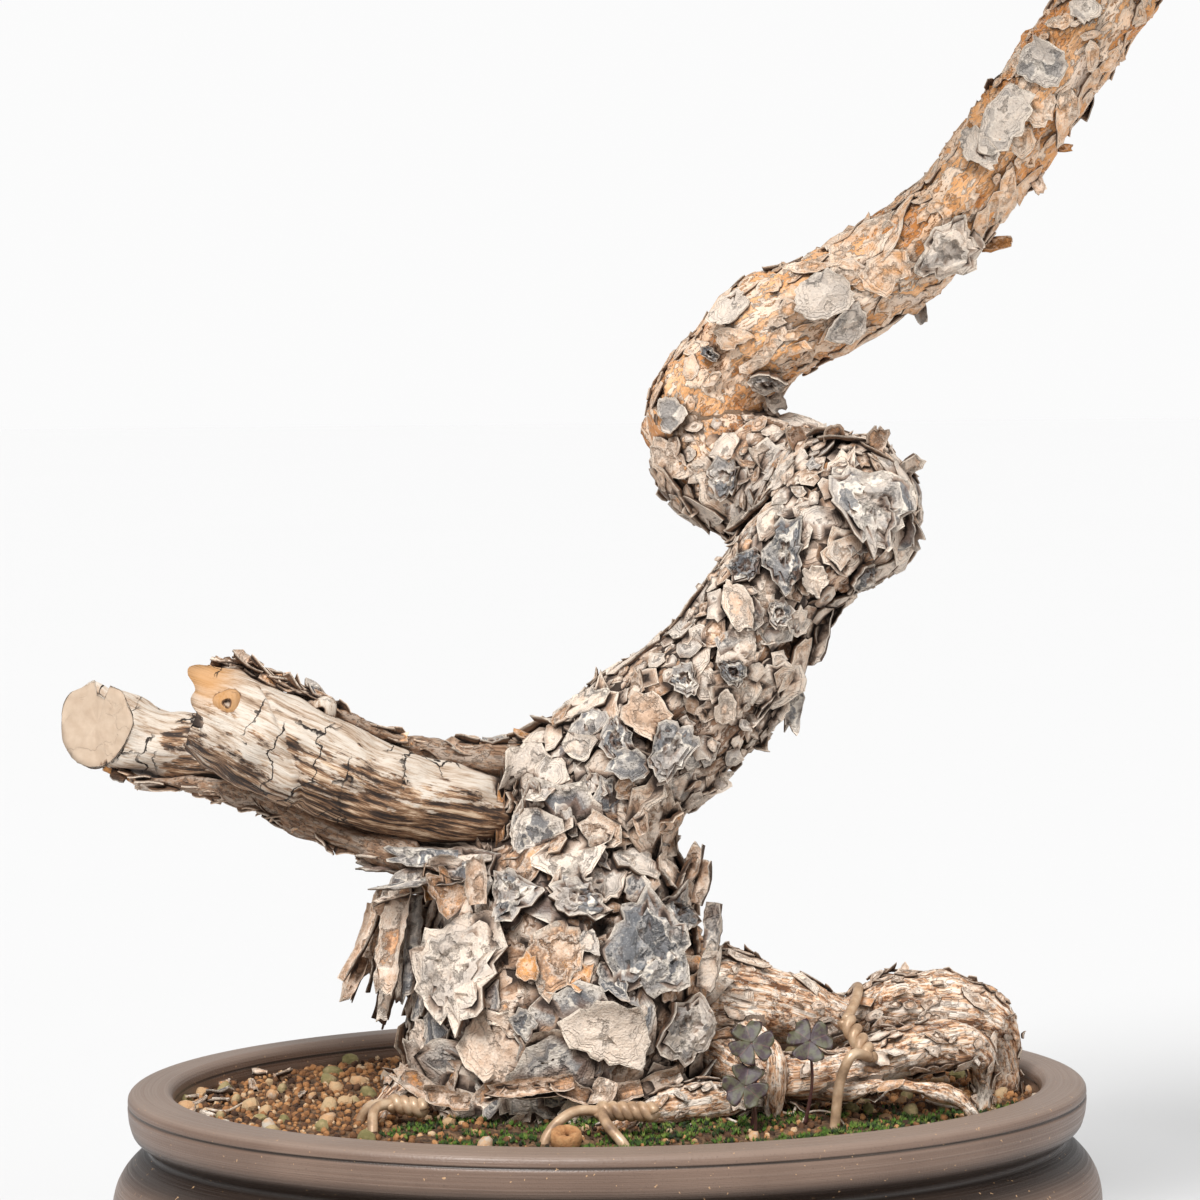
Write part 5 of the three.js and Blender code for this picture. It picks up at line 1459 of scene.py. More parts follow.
def firedClay():
    material, n, surface = materialNodes("firedClay")
    at = n.place()
    brush = n.add("ShaderNodeUVMap", uv_map="sweep")
    lines = n.noise(n.vector("MULTIPLY", brush, (9, 1500, 0)), 1.0, 3, 0.65)
    cloud = n.noise(at, 22, 4)
    grit = n.noise(at, 1500, 3)
    specks = n.ramp(n.noise(at, 620, 2), 0.715, 0.74, 0.0, 0.8)
    high = n.add("ShaderNodeSeparateXYZ", at, out=2)
    # The neck under the rim and the incised line below the rim's corner are painted near black: painted shade in these
    # recesses.
    neckShade = n.math("MULTIPLY", n.ramp(high, 0.0560, 0.0640), n.ramp(high, 0.0700, 0.0750, 1.0, 0.0))
    line = n.math("MULTIPLY", n.ramp(high, 0.0793, 0.0799), n.ramp(high, 0.0801, 0.0807, 1.0, 0.0))
    rimTopLight = n.ramp(high, 0.0815, 0.0832)
    colour = n.mixed(n.ramp(cloud, 0.3, 0.7), (0.140, 0.086, 0.061, 1), (0.190, 0.122, 0.088, 1))
    # The rim's top is painted lighter: painted light on the surface that faces up to the lamps.
    colour = n.mixed(n.math("MULTIPLY", rimTopLight, 0.45), colour, (0.34, 0.26, 0.21, 1))
    colour = n.mixed(n.math("MULTIPLY", n.math("MAXIMUM", neckShade, line), 0.96), colour, (0.014, 0.007, 0.004, 1))
    worn = n.math("MULTIPLY", n.ramp(lines, 0.42, 0.70, 0.0, 0.32), n.math("MULTIPLY_ADD", neckShade, -0.85, 1.0))
    colour = n.mixed(worn, colour, (0.30, 0.22, 0.17, 1))
    colour = n.mixed(n.ramp(grit, 0.60, 0.72, 0.0, 0.35), colour, (0.07, 0.045, 0.035, 1))
    colour = n.mixed(specks, colour, (0.62, 0.38, 0.20, 1))
    rough = n.ramp(lines, 0.3, 0.7, 0.46, 0.34)
    height = n.math("ADD", lines, n.math("MULTIPLY", grit, 0.5))
    finishSurface(n, surface, colour, rough, height, 0.00022)
    return material


def makePot(settings):
    rows = []
    profile = np.array(settings["profile"], float) * 0.001
    padded = np.vstack([2 * profile[0] - profile[1], profile, 2 * profile[-1] - profile[-2]])
    for k in range(len(profile) - 1):
        a, b, c, d = padded[k:k + 4]
        for i in range(settings["perSpan"]):
            t = i / settings["perSpan"]
            slope0, slope1 = (c - a) * 0.4, (d - b) * 0.4
            rows.append(
                b * (2 * t**3 - 3 * t**2 + 1) + slope0 * (t**3 - 2 * t**2 + t)
                + c * (3 * t**2 - 2 * t**3) + slope1 * (t**3 - t**2))
    rows.append(profile[-1])
    sides = settings["sides"]
    points, travelled, sweep = [], 0.0, []
    for k, (offset, height) in enumerate(rows):
        travelled += 0 if k == 0 else math.dist(rows[k], rows[k - 1])
        for i in range(sides):
            x, y = ovalPoint(settings, min(offset, 0.0169), 2 * math.pi * i / sides)
            points.append((x, y, min(max(height, 0.0), settings["rimHeight"])))
        sweep.append(travelled)
    points += [(0, 0, settings["floorTop"]), (0, 0, 0)]
    faces = [face[::-1] for face in tubeFaces(len(rows), sides)]
    pot = addPiece("potBody", points, faces, firedClay())
    layer = pot.data.uv_layers.new(name="sweep")
    girth = 0.74
    for face in pot.data.polygons:
        wraps = {v % sides for v in face.vertices if v < len(rows) * sides} >= {0, sides - 1}
        for loop in face.loop_indices:
            v = pot.data.loops[loop].vertex_index
            ring = min(v // sides, len(rows) - 1)
            turn = v % sides + (sides if wraps and v % sides == 0 else 0)
            layer.data[loop].uv = (girth * turn / sides, sweep[ring])
    cutPot(pot, settings)
    return pot


def cutPot(pot, settings):
    across, radius = settings["holes"]
    width, depth = settings["grooves"]
    cutters = []
    for side in (-1, 1):
        ring = [(side * across + radius * math.cos(a), radius * math.sin(a))
                for a in np.linspace(0, 2 * math.pi, 40, endpoint=False)]
        points = [(x, y, z) for z in (-0.01, 0.03) for x, y in ring]
        points += [(side * across, 0, -0.01), (side * across, 0, 0.03)]
        cutters.append(addPiece("holeCutter", points, tubeFaces(2, 40)))
        low, high = side * across - width / 2, side * across + width / 2
        box = [(x, y, z) for z in (-0.01, depth) for x, y in ((low, -0.2), (high, -0.2), (high, 0.2), (low, 0.2))]
        faces = [(3, 2, 1, 0), (4, 5, 6, 7), (0, 1, 5, 4), (1, 2, 6, 5), (2, 3, 7, 6), (3, 0, 4, 7)]
        cutters.append(addPiece("grooveCutter", box, faces))
    for cutter in cutters:
        cut = pot.modifiers.new("cut", "BOOLEAN")
        cut.operation = "DIFFERENCE"
        cut.solver = "EXACT"
        cut.object = cutter
    settle(pot)
    for cutter in cutters:
        bpy.data.objects.remove(cutter)


pot = makePot(potSettings)
pot.data.shade_smooth()
finishPiece(pot, "pot_clay", "pot")
print("pot is thrown")


# Soil: a lumpy bed with grains, pebbles, moss, bark scraps and rootlets on it

soilSettings = {
    "rings": 70,
    "sides": 220,
}


def soilTop(x, y):
    towardsTree = np.exp(-((x + 5) ** 2 + (y - 2) ** 2) / 3200)
    lumps = 0.6 * np.sin(0.35 * x + 1) * np.sin(0.41 * y) + 0.4 * np.sin(0.13 * x - 0.2 * y)
    return 76 + 5 * towardsTree + lumps


def darkSoil():
    material, n, surface = materialNodes("dampSoil")
    at = n.place()
    crumbs = n.noise(at, 300, 5, 0.7)
    colour = colourRamp(n, crumbs, [
        (0.35, (0.030, 0.016, 0.009)), (0.50, (0.12, 0.065, 0.032)), (0.62, (0.27, 0.15, 0.075)),
        (0.75, (0.40, 0.26, 0.14)),
    ])
    finishSurface(n, surface, colour, 0.95, crumbs, 0.002)
    return material


def makeSoil(settings):
    rings, sides = settings["rings"], settings["sides"]
    points, draw = [], np.random.default_rng(4)
    for k in range(rings):
        share = 1 - k / rings
        for i in range(sides):
            x, y = ovalPoint(potSettings, -0.0016, 2 * math.pi * i / sides)
            x, y = x * share, y * share
            points.append((x, y, 0.001 * soilTop(x * 1000, y * 1000) + draw.uniform(-0.0005, 0.0005)))
    foot = [(x, y, 0.060) for x, y, z in points[:sides]]
    points = foot + points
    points += [(0, 0, 0.060), (0, 0, 0.001 * float(soilTop(0, 0)))]
    bed = addPiece("soilBed", points, tubeFaces(rings + 1, sides), darkSoil())
    return bed


bed = makeSoil(soilSettings)


def makeStones(name, count, level, squash, seed):
    draw = random.Random(seed)
    shelf = bpy.data.collections.new(name)
    for k in range(count):
        mesh = bpy.data.meshes.new(f"{name}{k:02d}")
        shape = bmesh.new()
        bmesh.ops.create_icosphere(shape, subdivisions=level, radius=1.0)
        dirs = [Vector((draw.gauss(0, 1), draw.gauss(0, 1), draw.gauss(0, 1))).normalized() for i in range(7)]
        for v in shape.verts:
            d = v.co.normalized()
            v.co = d * min(min(1.0, 0.72 / max(d.dot(q), 0.3)) for q in dirs) * draw.uniform(0.94, 1.04)
            v.co.z *= squash
        shape.to_mesh(mesh)
        shape.free()
        shelf.objects.link(bpy.data.objects.new(mesh.name, mesh))
    return shelf


def strewTree():
    names = [("Shapes", "Collection"), ("Spacing", "Float"), ("Size", "Float"), ("Sink", "Float"),
             ("Mask", "String"), ("Mask Low", "Float"), ("Mask High", "Float"), ("Tilt", "Float"),
             ("Seed", "Int"), ("Material", "Material")]
    tree, n, given, result = geometryTree("strewn", names)
    mask = n.stored(given["Mask"])
    inside = n.math("MULTIPLY", n.math("GREATER_THAN", mask, given["Mask Low"]),
                    n.math("LESS_THAN", mask, given["Mask High"]))
    chance = n.chances(given)
    points = n.store(n.scattered(given, given["Geometry"], inside)["Points"], "tone", chance(1, 0.0, 1.0))
    tilt = given["Tilt"]
    lean = n.math("MULTIPLY", tilt, -1.0)
    turn = n.add("ShaderNodeCombineXYZ", chance(2, lean, tilt), chance(3, lean, tilt), chance(4, 0.0, 6.28))
    size = n.math("MULTIPLY", given["Size"], chance(5, 0.55, 1.3))
    shapes = n.add("GeometryNodeCollectionInfo", given["Shapes"], True, True)
    made = n.add("GeometryNodeInstanceOnPoints", points, None, shapes, True, named={"Rotation": turn, "Scale": size})
    made = n.add("GeometryNodeRealizeInstances", made)
    sink = n.add("ShaderNodeCombineXYZ", 0.0, 0.0, given["Sink"])
    made = n.add("GeometryNodeSetPosition", made, None, None, sink)
    made = n.add("GeometryNodeSetMaterial", made, None, given["Material"])
    n.tree.links.new(made, result)
    return tree


def stony(name, stops, scale, roughness=0.9):
    material, n, surface = materialNodes(name)
    at = n.place()
    tone = n.fact("tone")
    grain = n.noise(at, scale, 5, 0.65)
    shade = n.swayed(tone, grain, 0.9)
    finishSurface(n, surface, colourRamp(n, shade, stops), roughness, grain, 0.0008)
    return material


strewn = strewTree()
akadama = stony("bakedClayGrain", [
    (0.0, (0.045, 0.020, 0.010)), (0.3, (0.17, 0.075, 0.030)), (0.6, (0.38, 0.17, 0.062)),
    (0.88, (0.50, 0.25, 0.10)), (1.0, (0.62, 0.44, 0.27))], 500)
pebbleStone = stony("pebbleStone", [
    (0.0, (0.16, 0.14, 0.05)), (0.25, (0.28, 0.23, 0.10)), (0.5, (0.52, 0.37, 0.21)),
    (0.8, (0.56, 0.32, 0.16)), (1.0, (0.50, 0.44, 0.36))], 350)
mossGreen = stony("mossGreen", [
    (0.0, (0.008, 0.016, 0.003)), (0.4, (0.034, 0.080, 0.005)), (0.75, (0.095, 0.190, 0.012)),
    (1.0, (0.18, 0.22, 0.04))], 260, 0.7)


def turnedBack(x, y):
    # Places on the frame as they were before the tree was turned.
    c, s = math.cos(-treeTurn), math.sin(-treeTurn)
    return x * c - y * s, x * s + y * c


def markSoil(bed):
    at = verticesOf(bed.data)
    u, v = turnedBack(at[:, 0], at[:, 1])
    patch = 0.5 + 0.42 * np.sin(u * 420 + 1 + 2 * np.sin(v * 150)) * np.sin(v * 460 + u * 160)
    patch = patch + 0.22 * np.sin(u * 151 - v * 173 + 2)
    front = smoothstep(0.0, -0.045, v) * smoothstep(-0.085, -0.04, u)
    front = np.clip(front + 0.6 * smoothstep(0.045, 0.09, u) * smoothstep(0.03, -0.02, v), 0, 1)
    moss = front * np.clip(patch, 0, 1)
    sparse = np.sin(u * 930 + 2) * np.sin(v * 870 + u * 310) > -0.1
    above = at[:, 2] > 0.07
    setAttribute(bed.data, "moss", np.where(above, moss, -1))
    setAttribute(bed.data, "loose", np.where(above & (moss < 0.52) & (sparse | (front < 0.4)), 1, -1))


markSoil(bed)
grains = makeStones("grain", 8, 1, 0.85, 11)
stones = makeStones("pebble", 8, 2, 0.75, 12)


def makeTufts():
    shelf = bpy.data.collections.new("tufts")
    draw = random.Random(14)
    for k in range(5):
        points, faces = [], []
        for i in range(7):
            a, lean = draw.uniform(0, 6.28), draw.uniform(0.1, 0.75)
            reach = draw.uniform(0.7, 1.2)
            tip = Vector((math.sin(lean) * math.cos(a), math.sin(lean) * math.sin(a), math.cos(lean))) * reach
            side = Vector((-math.sin(a), math.cos(a), 0)) * 0.16
            base = Vector((math.cos(a), math.sin(a), 0)) * 0.16
            start = len(points)
            points += [side - base * 0.3, -side - base * 0.3, base * 1.4, tip]
            faces += [(start, start + 1, start + 3), (start + 1, start + 2, start + 3), (start + 2, start, start + 3),
                      (start, start + 2, start + 1)]
        shelve(addPiece(f"tuft{k}", points, faces), shelf)
    return shelf


strewPasses = [  # name, shapes, sizes, material
    ("clayGrains", grains, {"Spacing": 0.00225, "Size": 0.00128, "Sink": 0.0003, "Mask": "loose", "Mask Low": 0.0,
                            "Mask High": 2.0, "Tilt": 3.0}, akadama),
    ("pebbles", stones, {"Spacing": 0.0115, "Size": 0.0027, "Sink": 0.0008, "Mask": "loose", "Mask Low": 0.0,
                         "Mask High": 2.0, "Tilt": 3.0}, pebbleStone),
    ("mossTufts", makeTufts(), {"Spacing": 0.00125, "Size": 0.0016, "Sink": 0.0004, "Mask": "moss",
                                "Mask Low": 0.42, "Mask High": 2.0, "Tilt": 0.6}, mossGreen),
]
for seed, (name, shelf, sizes, material) in enumerate(strewPasses):
    piece = laidOn(bed, strewn, name, {**sizes, "Shapes": shelf, "Seed": 50 + 10 * seed, "Material": material})
    finishPiece(piece, "soil", "soil")


# Litter on the soil: single stones, scraps of bark and pale rootlets, each where the picture shows it

litterSettings = {
    # across and down in the picture, size in millimetres, tone
    "stones": [
        (852, 1113, 3.0, 0.12), (886, 1121, 2.2, 0.82), (958, 1078, 2.8, 0.10), (937, 1084, 2.2, 0.55),
        (974, 1090, 2.2, 0.15), (450, 1126, 2.4, 0.60), (503, 1120, 1.8, 0.95), (792, 1108, 2.4, 0.08),
        (1002, 1096, 2.4, 0.55), (250, 1110, 3.4, 0.55), (140, 1112, 3.0, 0.75), (345, 1105, 2.4, 0.60),
        (470, 1118, 2.6, 0.72), (260, 1122, 2.2, 0.30), (118, 1096, 2.6, 0.70), (700, 1120, 2.2, 0.5),
    ],
    # across and down, direction in degrees, width, length, tone
    "scraps": [
        (205, 1098, 20, 4, 9, 0.30), (228, 1104, 150, 3, 8, 0.45), (190, 1088, 60, 3, 7, 0.74),
        (255, 1092, 100, 3, 10, 0.72), (275, 1080, 30, 4, 6, 0.85), (300, 1100, 80, 2, 9, 0.50),
        (165, 1106, 0, 3, 7, 0.66), (240, 1078, 170, 3, 6, 0.74), (462, 1108, 70, 4, 6, 0.66),
        (492, 1116, 160, 4, 6, 0.74), (1020, 1078, 150, 4, 8, 0.74),
        (215, 1118, 130, 2, 8, 0.52), (180, 1116, 40, 3, 6, 0.76),
    ],
    # each rootlet as places that it passes
    "rootlets": [
        [(742, 1120), (760, 1110), (790, 1118), (800, 1103), (812, 1101)],
        [(806, 1103), (822, 1110), (842, 1106), (848, 1097)],
        [(868, 1100), (878, 1106), (888, 1098), (880, 1092)], [(920, 1094), (932, 1108), (958, 1112), (966, 1106)],
        [(800, 1126), (812, 1118), (835, 1122), (846, 1128)], [(690, 1126), (712, 1118), (738, 1124)],
        [(640, 1126), (655, 1118), (668, 1122)], [(380, 1112), (392, 1120), (402, 1110)],
        [(205, 1110), (225, 1116), (250, 1108), (262, 1112)], [(170, 1098), (186, 1106), (200, 1096)],
    ],
}


def strewLitter(settings):
    surface = BVHTree.FromObject(bed, bpy.context.evaluated_depsgraph_get())

    middle = pictureSide / 2

    def onSoil(across, down):
        # A place hidden by the pot's rim moves towards the middle until it meets the soil.
        for share in np.linspace(1, 0.8, 9):
            spot = surface.ray_cast(Vector(eye), Vector(sightLine(middle + (across - middle) * share, down)))[0]
            if spot is not None and spot.z > 0.07:
                return spot

    shapes = sorted(stones.objects, key=lambda shape: shape.name)
    laid, draw = [], random.Random(77)
    for k, (across, down, size, tone) in enumerate(settings["stones"]):
        spot = onSoil(across, down)
        stone = bpy.data.objects.new("stone", shapes[k % len(shapes)].data.copy())
        turn = Matrix.Rotation(draw.uniform(0, 6.28), 4, "Z") @ Matrix.Rotation(draw.uniform(-0.5, 0.5), 4, "X")
        resting = Matrix.Translation(spot + Vector((0, 0, size * 0.0004)))
        stone.data.transform(resting @ turn @ Matrix.Scale(size * 0.001, 4))
        setAttribute(stone.data, "tone", np.full(len(stone.data.vertices), tone))
        stone.data.materials.append(pebbleStone)
        laid.append(stone)
    finishPiece(joined(laid, "singleStones"), "soil", "soil")
    flakes = Flakes(78)
    for across, down, turn, width, length, tone in settings["scraps"]:
        up = axes @ np.array([math.cos(math.radians(turn)), 0.0, -math.sin(math.radians(turn))])
        spot = np.array(onSoil(across, down)) + (0, 0, 0.0014)
        flakes.add(spot, np.array([draw.uniform(-0.3, 0.3), draw.uniform(-0.3, 0.3), 1.0]), up, width, length, tone,
                   draw.uniform(-1, 2), draw.uniform(-1, 1), cell=1.2)
    finishPiece(flakes.piece("barkScraps"), "soil", "soil")
    rootlets = []
    for places in settings["rootlets"]:
        rows = []
        for k, place in enumerate(places):
            x, y, z = np.array(onSoil(*place)) * 1000
            rise = 0.4 if k in (0, len(places) - 1) else draw.uniform(1.0, 3.0)
            rows.append([*turnedBack(x, y), z + rise, draw.uniform(0.28, 0.45)])
        rootlets.append((Limb(rows, 0.8), 8))
    finishPiece(addPiece("paleRootlets", *tubes(rootlets), paleRoot()), "soil", "soil")


def paleRoot():
    material, n, surface = materialNodes("paleRoot")
    stain = n.noise(n.place(), 400, 4)
    colour = colourRamp(n, stain, [(0.35, (0.30, 0.19, 0.12)), (0.5, (0.62, 0.50, 0.38)), (0.65, (0.84, 0.77, 0.68))])
    finishSurface(n, surface, colour, 0.8, stain, 0.0003)
    return material


strewLitter(litterSettings)
finishPiece(bed, "soil", "soil")
print("soil is filled")


# Foliage: needles in pairs on short shoots

foliageSettings = {
    "Needle Length": 0.027,
    "Spacing": 0.00125,
    "pads": {  # reach and rise in millimetres, shoots, and the angle that they fan over
        "right": (33, 5, 5, 4.4), "left": (36, 5, 5, 4.6), "front": (26, 4, 3, 2.6), "back": (30, 5, 4, 3.4),
        "upperRight": (26, 5, 3, 2.6), "upperLeft": (26, 5, 3, 2.6), "apex": (24, 12, 4, 4.7),
    },
}


def needleTree():
    names = [("Shapes", "Collection"), ("Spacing", "Float"), ("Needle Length", "Float"), ("Seed", "Int"),
             ("Material", "Material")]
    tree, n, given, result = geometryTree("needles", names)
    scatter = n.scattered(given, given["Geometry"], n.stored("leafy"))
    chance = n.chances(given)
    points = n.store(scatter["Points"], "tone", chance(1, 0.0, 1.0))
    axis = n.stored("axis", "FLOAT_VECTOR")
    height = n.stored("height")
    lift = n.math("ADD", n.math("MULTIPLY", height, 1.7), chance(2, -0.25, 0.35))
    way = n.vector("ADD", scatter["Normal"], n.scaled(axis, lift))
    turned = n.add("FunctionNodeAlignRotationToVector", named={"Vector": way}, axis="Z")
    spin = n.add("FunctionNodeAxisAngleToRotation", (0, 0, 1), chance(3, 0.0, 6.28))
    turned = n.add("FunctionNodeRotateRotation", turned, spin, rotation_space="LOCAL")
    size = n.math("MULTIPLY", given["Needle Length"], chance(4, 0.72, 1.06))
    shapes = n.add("GeometryNodeCollectionInfo", given["Shapes"], True, True)
    made = n.add("GeometryNodeInstanceOnPoints", points, None, shapes, True, named={"Rotation": turned, "Scale": size})
    made = n.add("GeometryNodeSetMaterial", n.add("GeometryNodeRealizeInstances", made), None, given["Material"])
    n.tree.links.new(n.join(made, given["Geometry"]), result)
    return tree


def makeNeedlePairs():
    # Two needles from one sheath, each three-sided, bowed and pointed, one unit long.
    shelf = bpy.data.collections.new("needlePairs")
    draw = random.Random(17)
    for k in range(4):
        points, faces = [], []
        for side in (-1, 1):
            spread, bow = draw.uniform(0.05, 0.12), draw.uniform(0.0, 0.10)
            start = len(points)
            for z, thick in ((0.0, 0.016), (0.45, 0.024), (0.8, 0.018)):
                x = side * (0.012 + spread * z) + bow * z * z
                for j in range(3):
                    a = 2 * math.pi * j / 3
                    points.append((x + thick * math.cos(a), thick * math.sin(a), z))
            points.append((side * (0.012 + spread) + bow, 0, 1.0))
            for ring in (0, 3):
                for j in range(3):
                    i = (j + 1) % 3
                    faces.append((start + ring + j, start + ring + i, start + ring + 3 + i, start + ring + 3 + j))
            for j in range(3):
                faces.append((start + 6 + j, start + 6 + (j + 1) % 3, start + 9))
            faces.append((start + 2, start + 1, start))
        shelve(addPiece(f"needlePair{k}", points, faces), shelf)
    return shelf


def needleGreen():
    material, n, surface = materialNodes("pineNeedle")
    tone = n.fact("tone")
    at = n.place()
    shade = n.math("MULTIPLY_ADD", n.math("SUBTRACT", n.noise(at, 60, 3), 0.5), 0.6, tone)
    colour = colourRamp(n, shade, [
        (0.0, (0.030, 0.070, 0.030)), (0.45, (0.060, 0.125, 0.055)), (0.8, (0.105, 0.185, 0.080)),
        (1.0, (0.20, 0.24, 0.10))])
    finishSurface(n, surface, colour, 0.45)
    return material


def twigBrown():
    material, n, surface = materialNodes("twigBark")
    grain = n.noise(n.place(), 500, 4)
    colour = colourRamp(n, grain, [(0.35, (0.10, 0.05, 0.025)), (0.55, (0.33, 0.18, 0.09)), (0.7, (0.48, 0.33, 0.2))])
    finishSurface(n, surface, colour, 0.85, grain, 0.0005)
    return material


def makePad(name, settings, tree, shelf, seed):
    reach, rise, shoots, fan = settings["pads"][name]
    limb = upperLimb if name == "apex" else branchLimbs[name]
    draw = random.Random(seed)
    heading = limb.tangents[-1]
    knuckle = limb.points[-1] + heading * 0.0043
    level = math.atan2(heading[1], heading[0])
    points, faces, leafy, heights, shootAxes = [], [], [], [], []
    count = 2 * shoots
    for i in range(count):
        outer = i < shoots
        share = i / (shoots - 1) if outer else (i - shoots + 0.5) / shoots
        turn = level + fan * (share - 0.5)
        far = reach * (0.6 + 0.4 * abs(math.sin(i * 2.39996))) if outer else reach * draw.uniform(0.3, 0.55)
        foot = knuckle + 0.001 * np.array([far * math.cos(turn), far * math.sin(turn), rise * draw.uniform(0.7, 1.3)])
        axis = unit(np.array([0.5 * math.cos(turn), 0.5 * math.sin(turn), 0.87]))
        middle = (knuckle + foot) / 2 - np.array([0, 0, 0.002])
        twig = [knuckle, middle, foot, foot + axis * 0.006, foot + axis * 0.011, foot + axis * 0.0145]
        side = unit(np.cross(axis, (0.2, 0.1, 1.0)))
        over = np.cross(axis, side)
        start = len(points)
        for k, (p, r) in enumerate(zip(twig, (0.0018, 0.0015, 0.0013, 0.0016, 0.0014, 0.0005))):
            for j in range(7):
                a = 2 * math.pi * j / 7
                points.append(p + (side * math.cos(a) + over * math.sin(a)) * r)
                leafy.append(1.0 if k >= 2 else 0.0)
                heights.append(max(k - 2, 0) / 3)
                shootAxes.append(axis)
        points += [twig[0], twig[-1] + axis * 0.001]
        leafy += [0.0, 1.0]
        heights += [0.0, 1.0]
        shootAxes += [axis, axis]
        faces += tubeFaces(6, 7, start)
    pad = addPiece("needles_" + name, points, faces, bpy.data.materials["twigBark"])
    setAttribute(pad.data, "leafy", leafy)
    setAttribute(pad.data, "height", heights)
    setAttribute(pad.data, "tone", np.zeros(len(points)))
    setAttribute(pad.data, "axis", shootAxes, "FLOAT_VECTOR")
    grow(pad, tree, {"Shapes": shelf, "Spacing": settings["Spacing"], "Needle Length": settings["Needle Length"],
                     "Seed": 90 + seed, "Material": bpy.data.materials["pineNeedle"]})
    pad.data.shade_smooth()
    finishPiece(pad, "needles", "foliage_" + name)


needleGreen()
twigBrown()
needles, pairs = needleTree(), makeNeedlePairs()
for seed, name in enumerate(foliageSettings["pads"]):
    makePad(name, foliageSettings, needles, pairs, seed)
print("needles are grown")


# Tie wires: two strands twisted together, whose ends go down into the soil

wireSettings = {
    "radius": 1.5,
    "sides": 14,
    "wires": {
        "right": ([74, -30, 95.5], [68, -17, 104], 2, [
            [[74, -30, 95.5], [69, -35, 97], [65.5, -36, 90], [64, -37, 79], [63, -38, 67]],
            [[68, -17.5, 104], [71, -9, 108], [72.5, 2, 110.5], [71.5, 12, 107], [70.5, 16.5, 97], [70.5, 17, 84],
             [70.5, 17, 67]]]),
        "front": ([-3, -58, 85.5], [13, -60, 85.5], 3, [
            [[-2, -58, 85.5], [-10, -60, 85.5], [-17, -64, 80], [-20, -67, 69]],
            [[-2, -59, 86], [-1, -65, 83.5], [4, -70, 78], [9, -72, 69]]]),
        "left": ([-62, -36, 84], [-52, -37, 82.5], 2, [
            [[-61, -36, 84], [-66, -40, 83], [-66.5, -46, 77], [-66.5, -48, 68]],
            [[-61, -35.5, 84], [-68, -32, 82], [-71.5, -30, 76], [-73.5, -29, 68]]]),
    },
}


def copperWire():
    material, n, surface = materialNodes("weatheredWire")
    at = n.place()
    stain = n.noise(at, 180, 4)
    colour = colourRamp(n, stain, [(0.3, (0.20, 0.12, 0.07)), (0.5, (0.46, 0.30, 0.18)), (0.68, (0.62, 0.46, 0.31))])
    surface.inputs["Metallic"].default_value = 0.15
    finishSurface(n, surface, colour, n.ramp(stain, 0.3, 0.7, 0.5, 0.35), stain, 0.0004)
    return material


def makeWire(name, settings, material):
    start, end, turns, tails = settings["wires"][name]
    radius = settings["radius"]
    start, end = np.array(start, float), np.array(end, float)
    axis = unit(end - start)
    side = unit(np.cross(axis, (0, 0, 1)))
    over = np.cross(axis, side)
    parts = [Limb([[*p, radius] for p in points], 0.9) for points in tails]
    for phase in (0, math.pi):
        rows = []
        for i in range(12 * turns + 1):
            share = i / (12 * turns)
            a = phase + 2 * math.pi * turns * share
            swing = 0.95 * radius * (side * math.cos(a) + over * math.sin(a))
            rows.append([*(start + (end - start) * share + swing), radius])
        parts.append(Limb(rows, 0.9))
    wire = addPiece("wire_" + name, *tubes((part, settings["sides"]) for part in parts), material)
    finishPiece(wire, "tie_wire", "tie_wire_" + name)


metal = copperWire()
for name in wireSettings["wires"]:
    makeWire(name, wireSettings, metal)


# Clover seedlings and the husk

cloverSettings = {
    "length": 6.2,
    "width": 9.4,
    "plants": [  # foot, head, tip and turn
        ([40, -44, 77.5], [40, -47, 102.5], 0.5, 0.3), ([41, -48, 77.5], [38, -51, 91], 0.6, 1.9),
        ([55.5, -36, 77.5], [56.5, -44, 102.5], 0.45, 0.9),
    ],
}


def cloverLeaf():
    material, n, surface = materialNodes("cloverLeaf")
    at = n.place()
    rib = n.fact("rib")
    mottle = n.noise(at, 420, 3)
    colour = n.mixed(n.ramp(mottle, 0.38, 0.62), (0.034, 0.013, 0.018, 1), (0.075, 0.070, 0.032, 1))
    colour = n.mixed(n.ramp(rib, 0.75, 1.0, 0.0, 0.6), colour, (0.15, 0.055, 0.055, 1))
    finishSurface(n, surface, colour, 0.5, mottle, 0.0002)
    return material


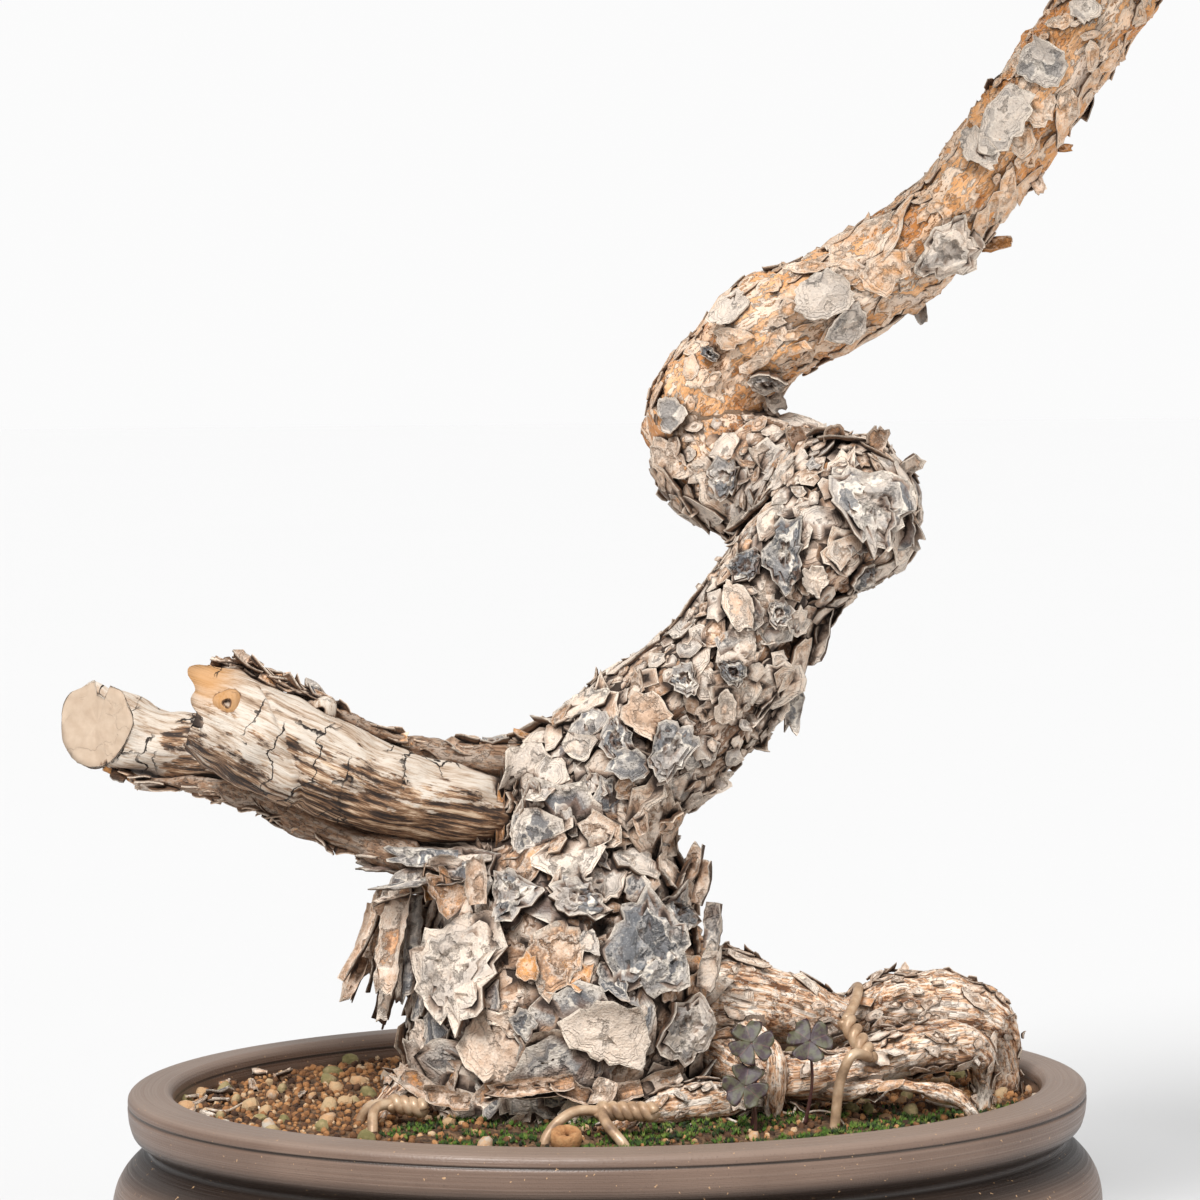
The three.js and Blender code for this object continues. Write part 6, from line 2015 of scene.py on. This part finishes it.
def makeClover(number, plant, settings, material):
    foot, head, tip, turn = plant
    middle = [(a + b) / 2 + c for a, b, c in zip(foot, head, (1.2, -0.6, 0))]
    stalk, faces = tube(Limb([[*foot, 0.55], [*middle, 0.45], [*head, 0.4]], 1.0), 8)
    points, rib = [stalk], [np.full(len(stalk), 1.0)]
    rows, columns = 12, 10
    for i in range(3):
        grid, ribs = [], []
        for face in (0, 1):
            for r in range(rows + 1):
                t = r / rows
                half = 0.5 * settings["width"] * math.sin(math.pi * min(t * 0.62 + 0.02, 0.72))
                half = half * (1 - 0.55 * max(t - 0.8, 0) / 0.2)
                for c in range(-columns // 2, columns // 2 + 1):
                    s = c / (columns / 2)
                    notch = 0.9 * (1 - abs(s)) ** 1.5 * t**3
                    x = half * s
                    y = settings["length"] * t - notch
                    fold = 0.9 * abs(s) * t - 0.5 * t * t
                    grid.append((x, y, fold - 0.35 * face + 0.15))
                    ribs.append(1 - min(abs(s) * 5, 1.0))
        grid = np.array(grid)
        a = turn + i * 2 * math.pi / 3
        lean = tip + 0.6
        turnZ = np.array([[math.cos(a), -math.sin(a), 0], [math.sin(a), math.cos(a), 0], [0, 0, 1]])
        turnX = np.array([[1, 0, 0], [0, math.cos(lean), -math.sin(lean)], [0, math.sin(lean), math.cos(lean)]])
        blade = toFrame((turnX @ turnZ @ grid.T).T + head)
        faces += sheetFaces(rows, columns, sum(map(len, points)))
        points.append(blade)
        rib.append(np.array(ribs))
    clover = addPiece(f"seedling{number}", np.vstack(points), faces, material)
    setAttribute(clover.data, "rib", np.concatenate(rib))
    finishPiece(clover, "clover", f"clover_{number}")


leafy = cloverLeaf()
for number, plant in enumerate(cloverSettings["plants"], 1):
    makeClover(number, plant, cloverSettings, leafy)


huskSettings = {
    # radius and height round the ring's section, from the inside under the rim and back
    "profile": [(2.0, 0.6), (3.2, 0.0), (4.1, 0.4), (4.4, 2.5), (4.0, 4.4), (3.2, 5.0), (2.3, 4.7), (1.7, 3.6),
                (1.5, 1.8)],
    "sides": 60,
    "tilt": 1.25,
    "place": (-12, -72, 82.6),
}


def makeHusk(settings):
    material = stony("huskBrown", [
        (0.0, (0.10, 0.04, 0.015)), (0.5, (0.42, 0.20, 0.08)), (1.0, (0.66, 0.40, 0.19))], 500)
    profile, sides, tilt = settings["profile"], settings["sides"], settings["tilt"]
    points = []
    for r, h in [*profile, profile[0]]:
        for i in range(sides):
            a = 2 * math.pi * i / sides
            star = 1 + (0.30 * math.cos(5 * a) if r < 3.0 else 0.03 * math.cos(9 * a))
            x, z = r * star * math.cos(a), r * star * math.sin(a)
            y, z = h * math.cos(-tilt) - z * math.sin(-tilt), h * math.sin(-tilt) + z * math.cos(-tilt)
            points.append(np.add((x, y, z), settings["place"]))
    faces = [face for face in tubeFaces(len(profile) + 1, sides) if len(face) == 4]
    husk = addPiece("emptyHusk", toFrame(points), faces, material)
    setAttribute(husk.data, "tone", np.full(len(points), 0.55))
    weld = husk.modifiers.new("weld", "WELD")
    weld.merge_threshold = 1e-6
    settle(husk)
    finishPiece(husk, "husk", "seed_husk")


makeHusk(huskSettings)


def meshPlastic():
    material, n, surface = materialNodes("meshPlastic")
    grain = n.noise(n.place(), 900, 3)
    colour = n.mixed(grain, (0.012, 0.013, 0.014, 1), (0.035, 0.037, 0.040, 1))
    finishSurface(n, surface, colour, 0.5, grain, 0.0002)
    return material


plastic = meshPlastic()
for name in ("drain_screen_left", "drain_screen_right"):
    screen = frame["nodes"][name]
    screen.data.materials.clear()
    screen.data.materials.append(plastic)
print("all pieces are made")

low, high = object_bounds()
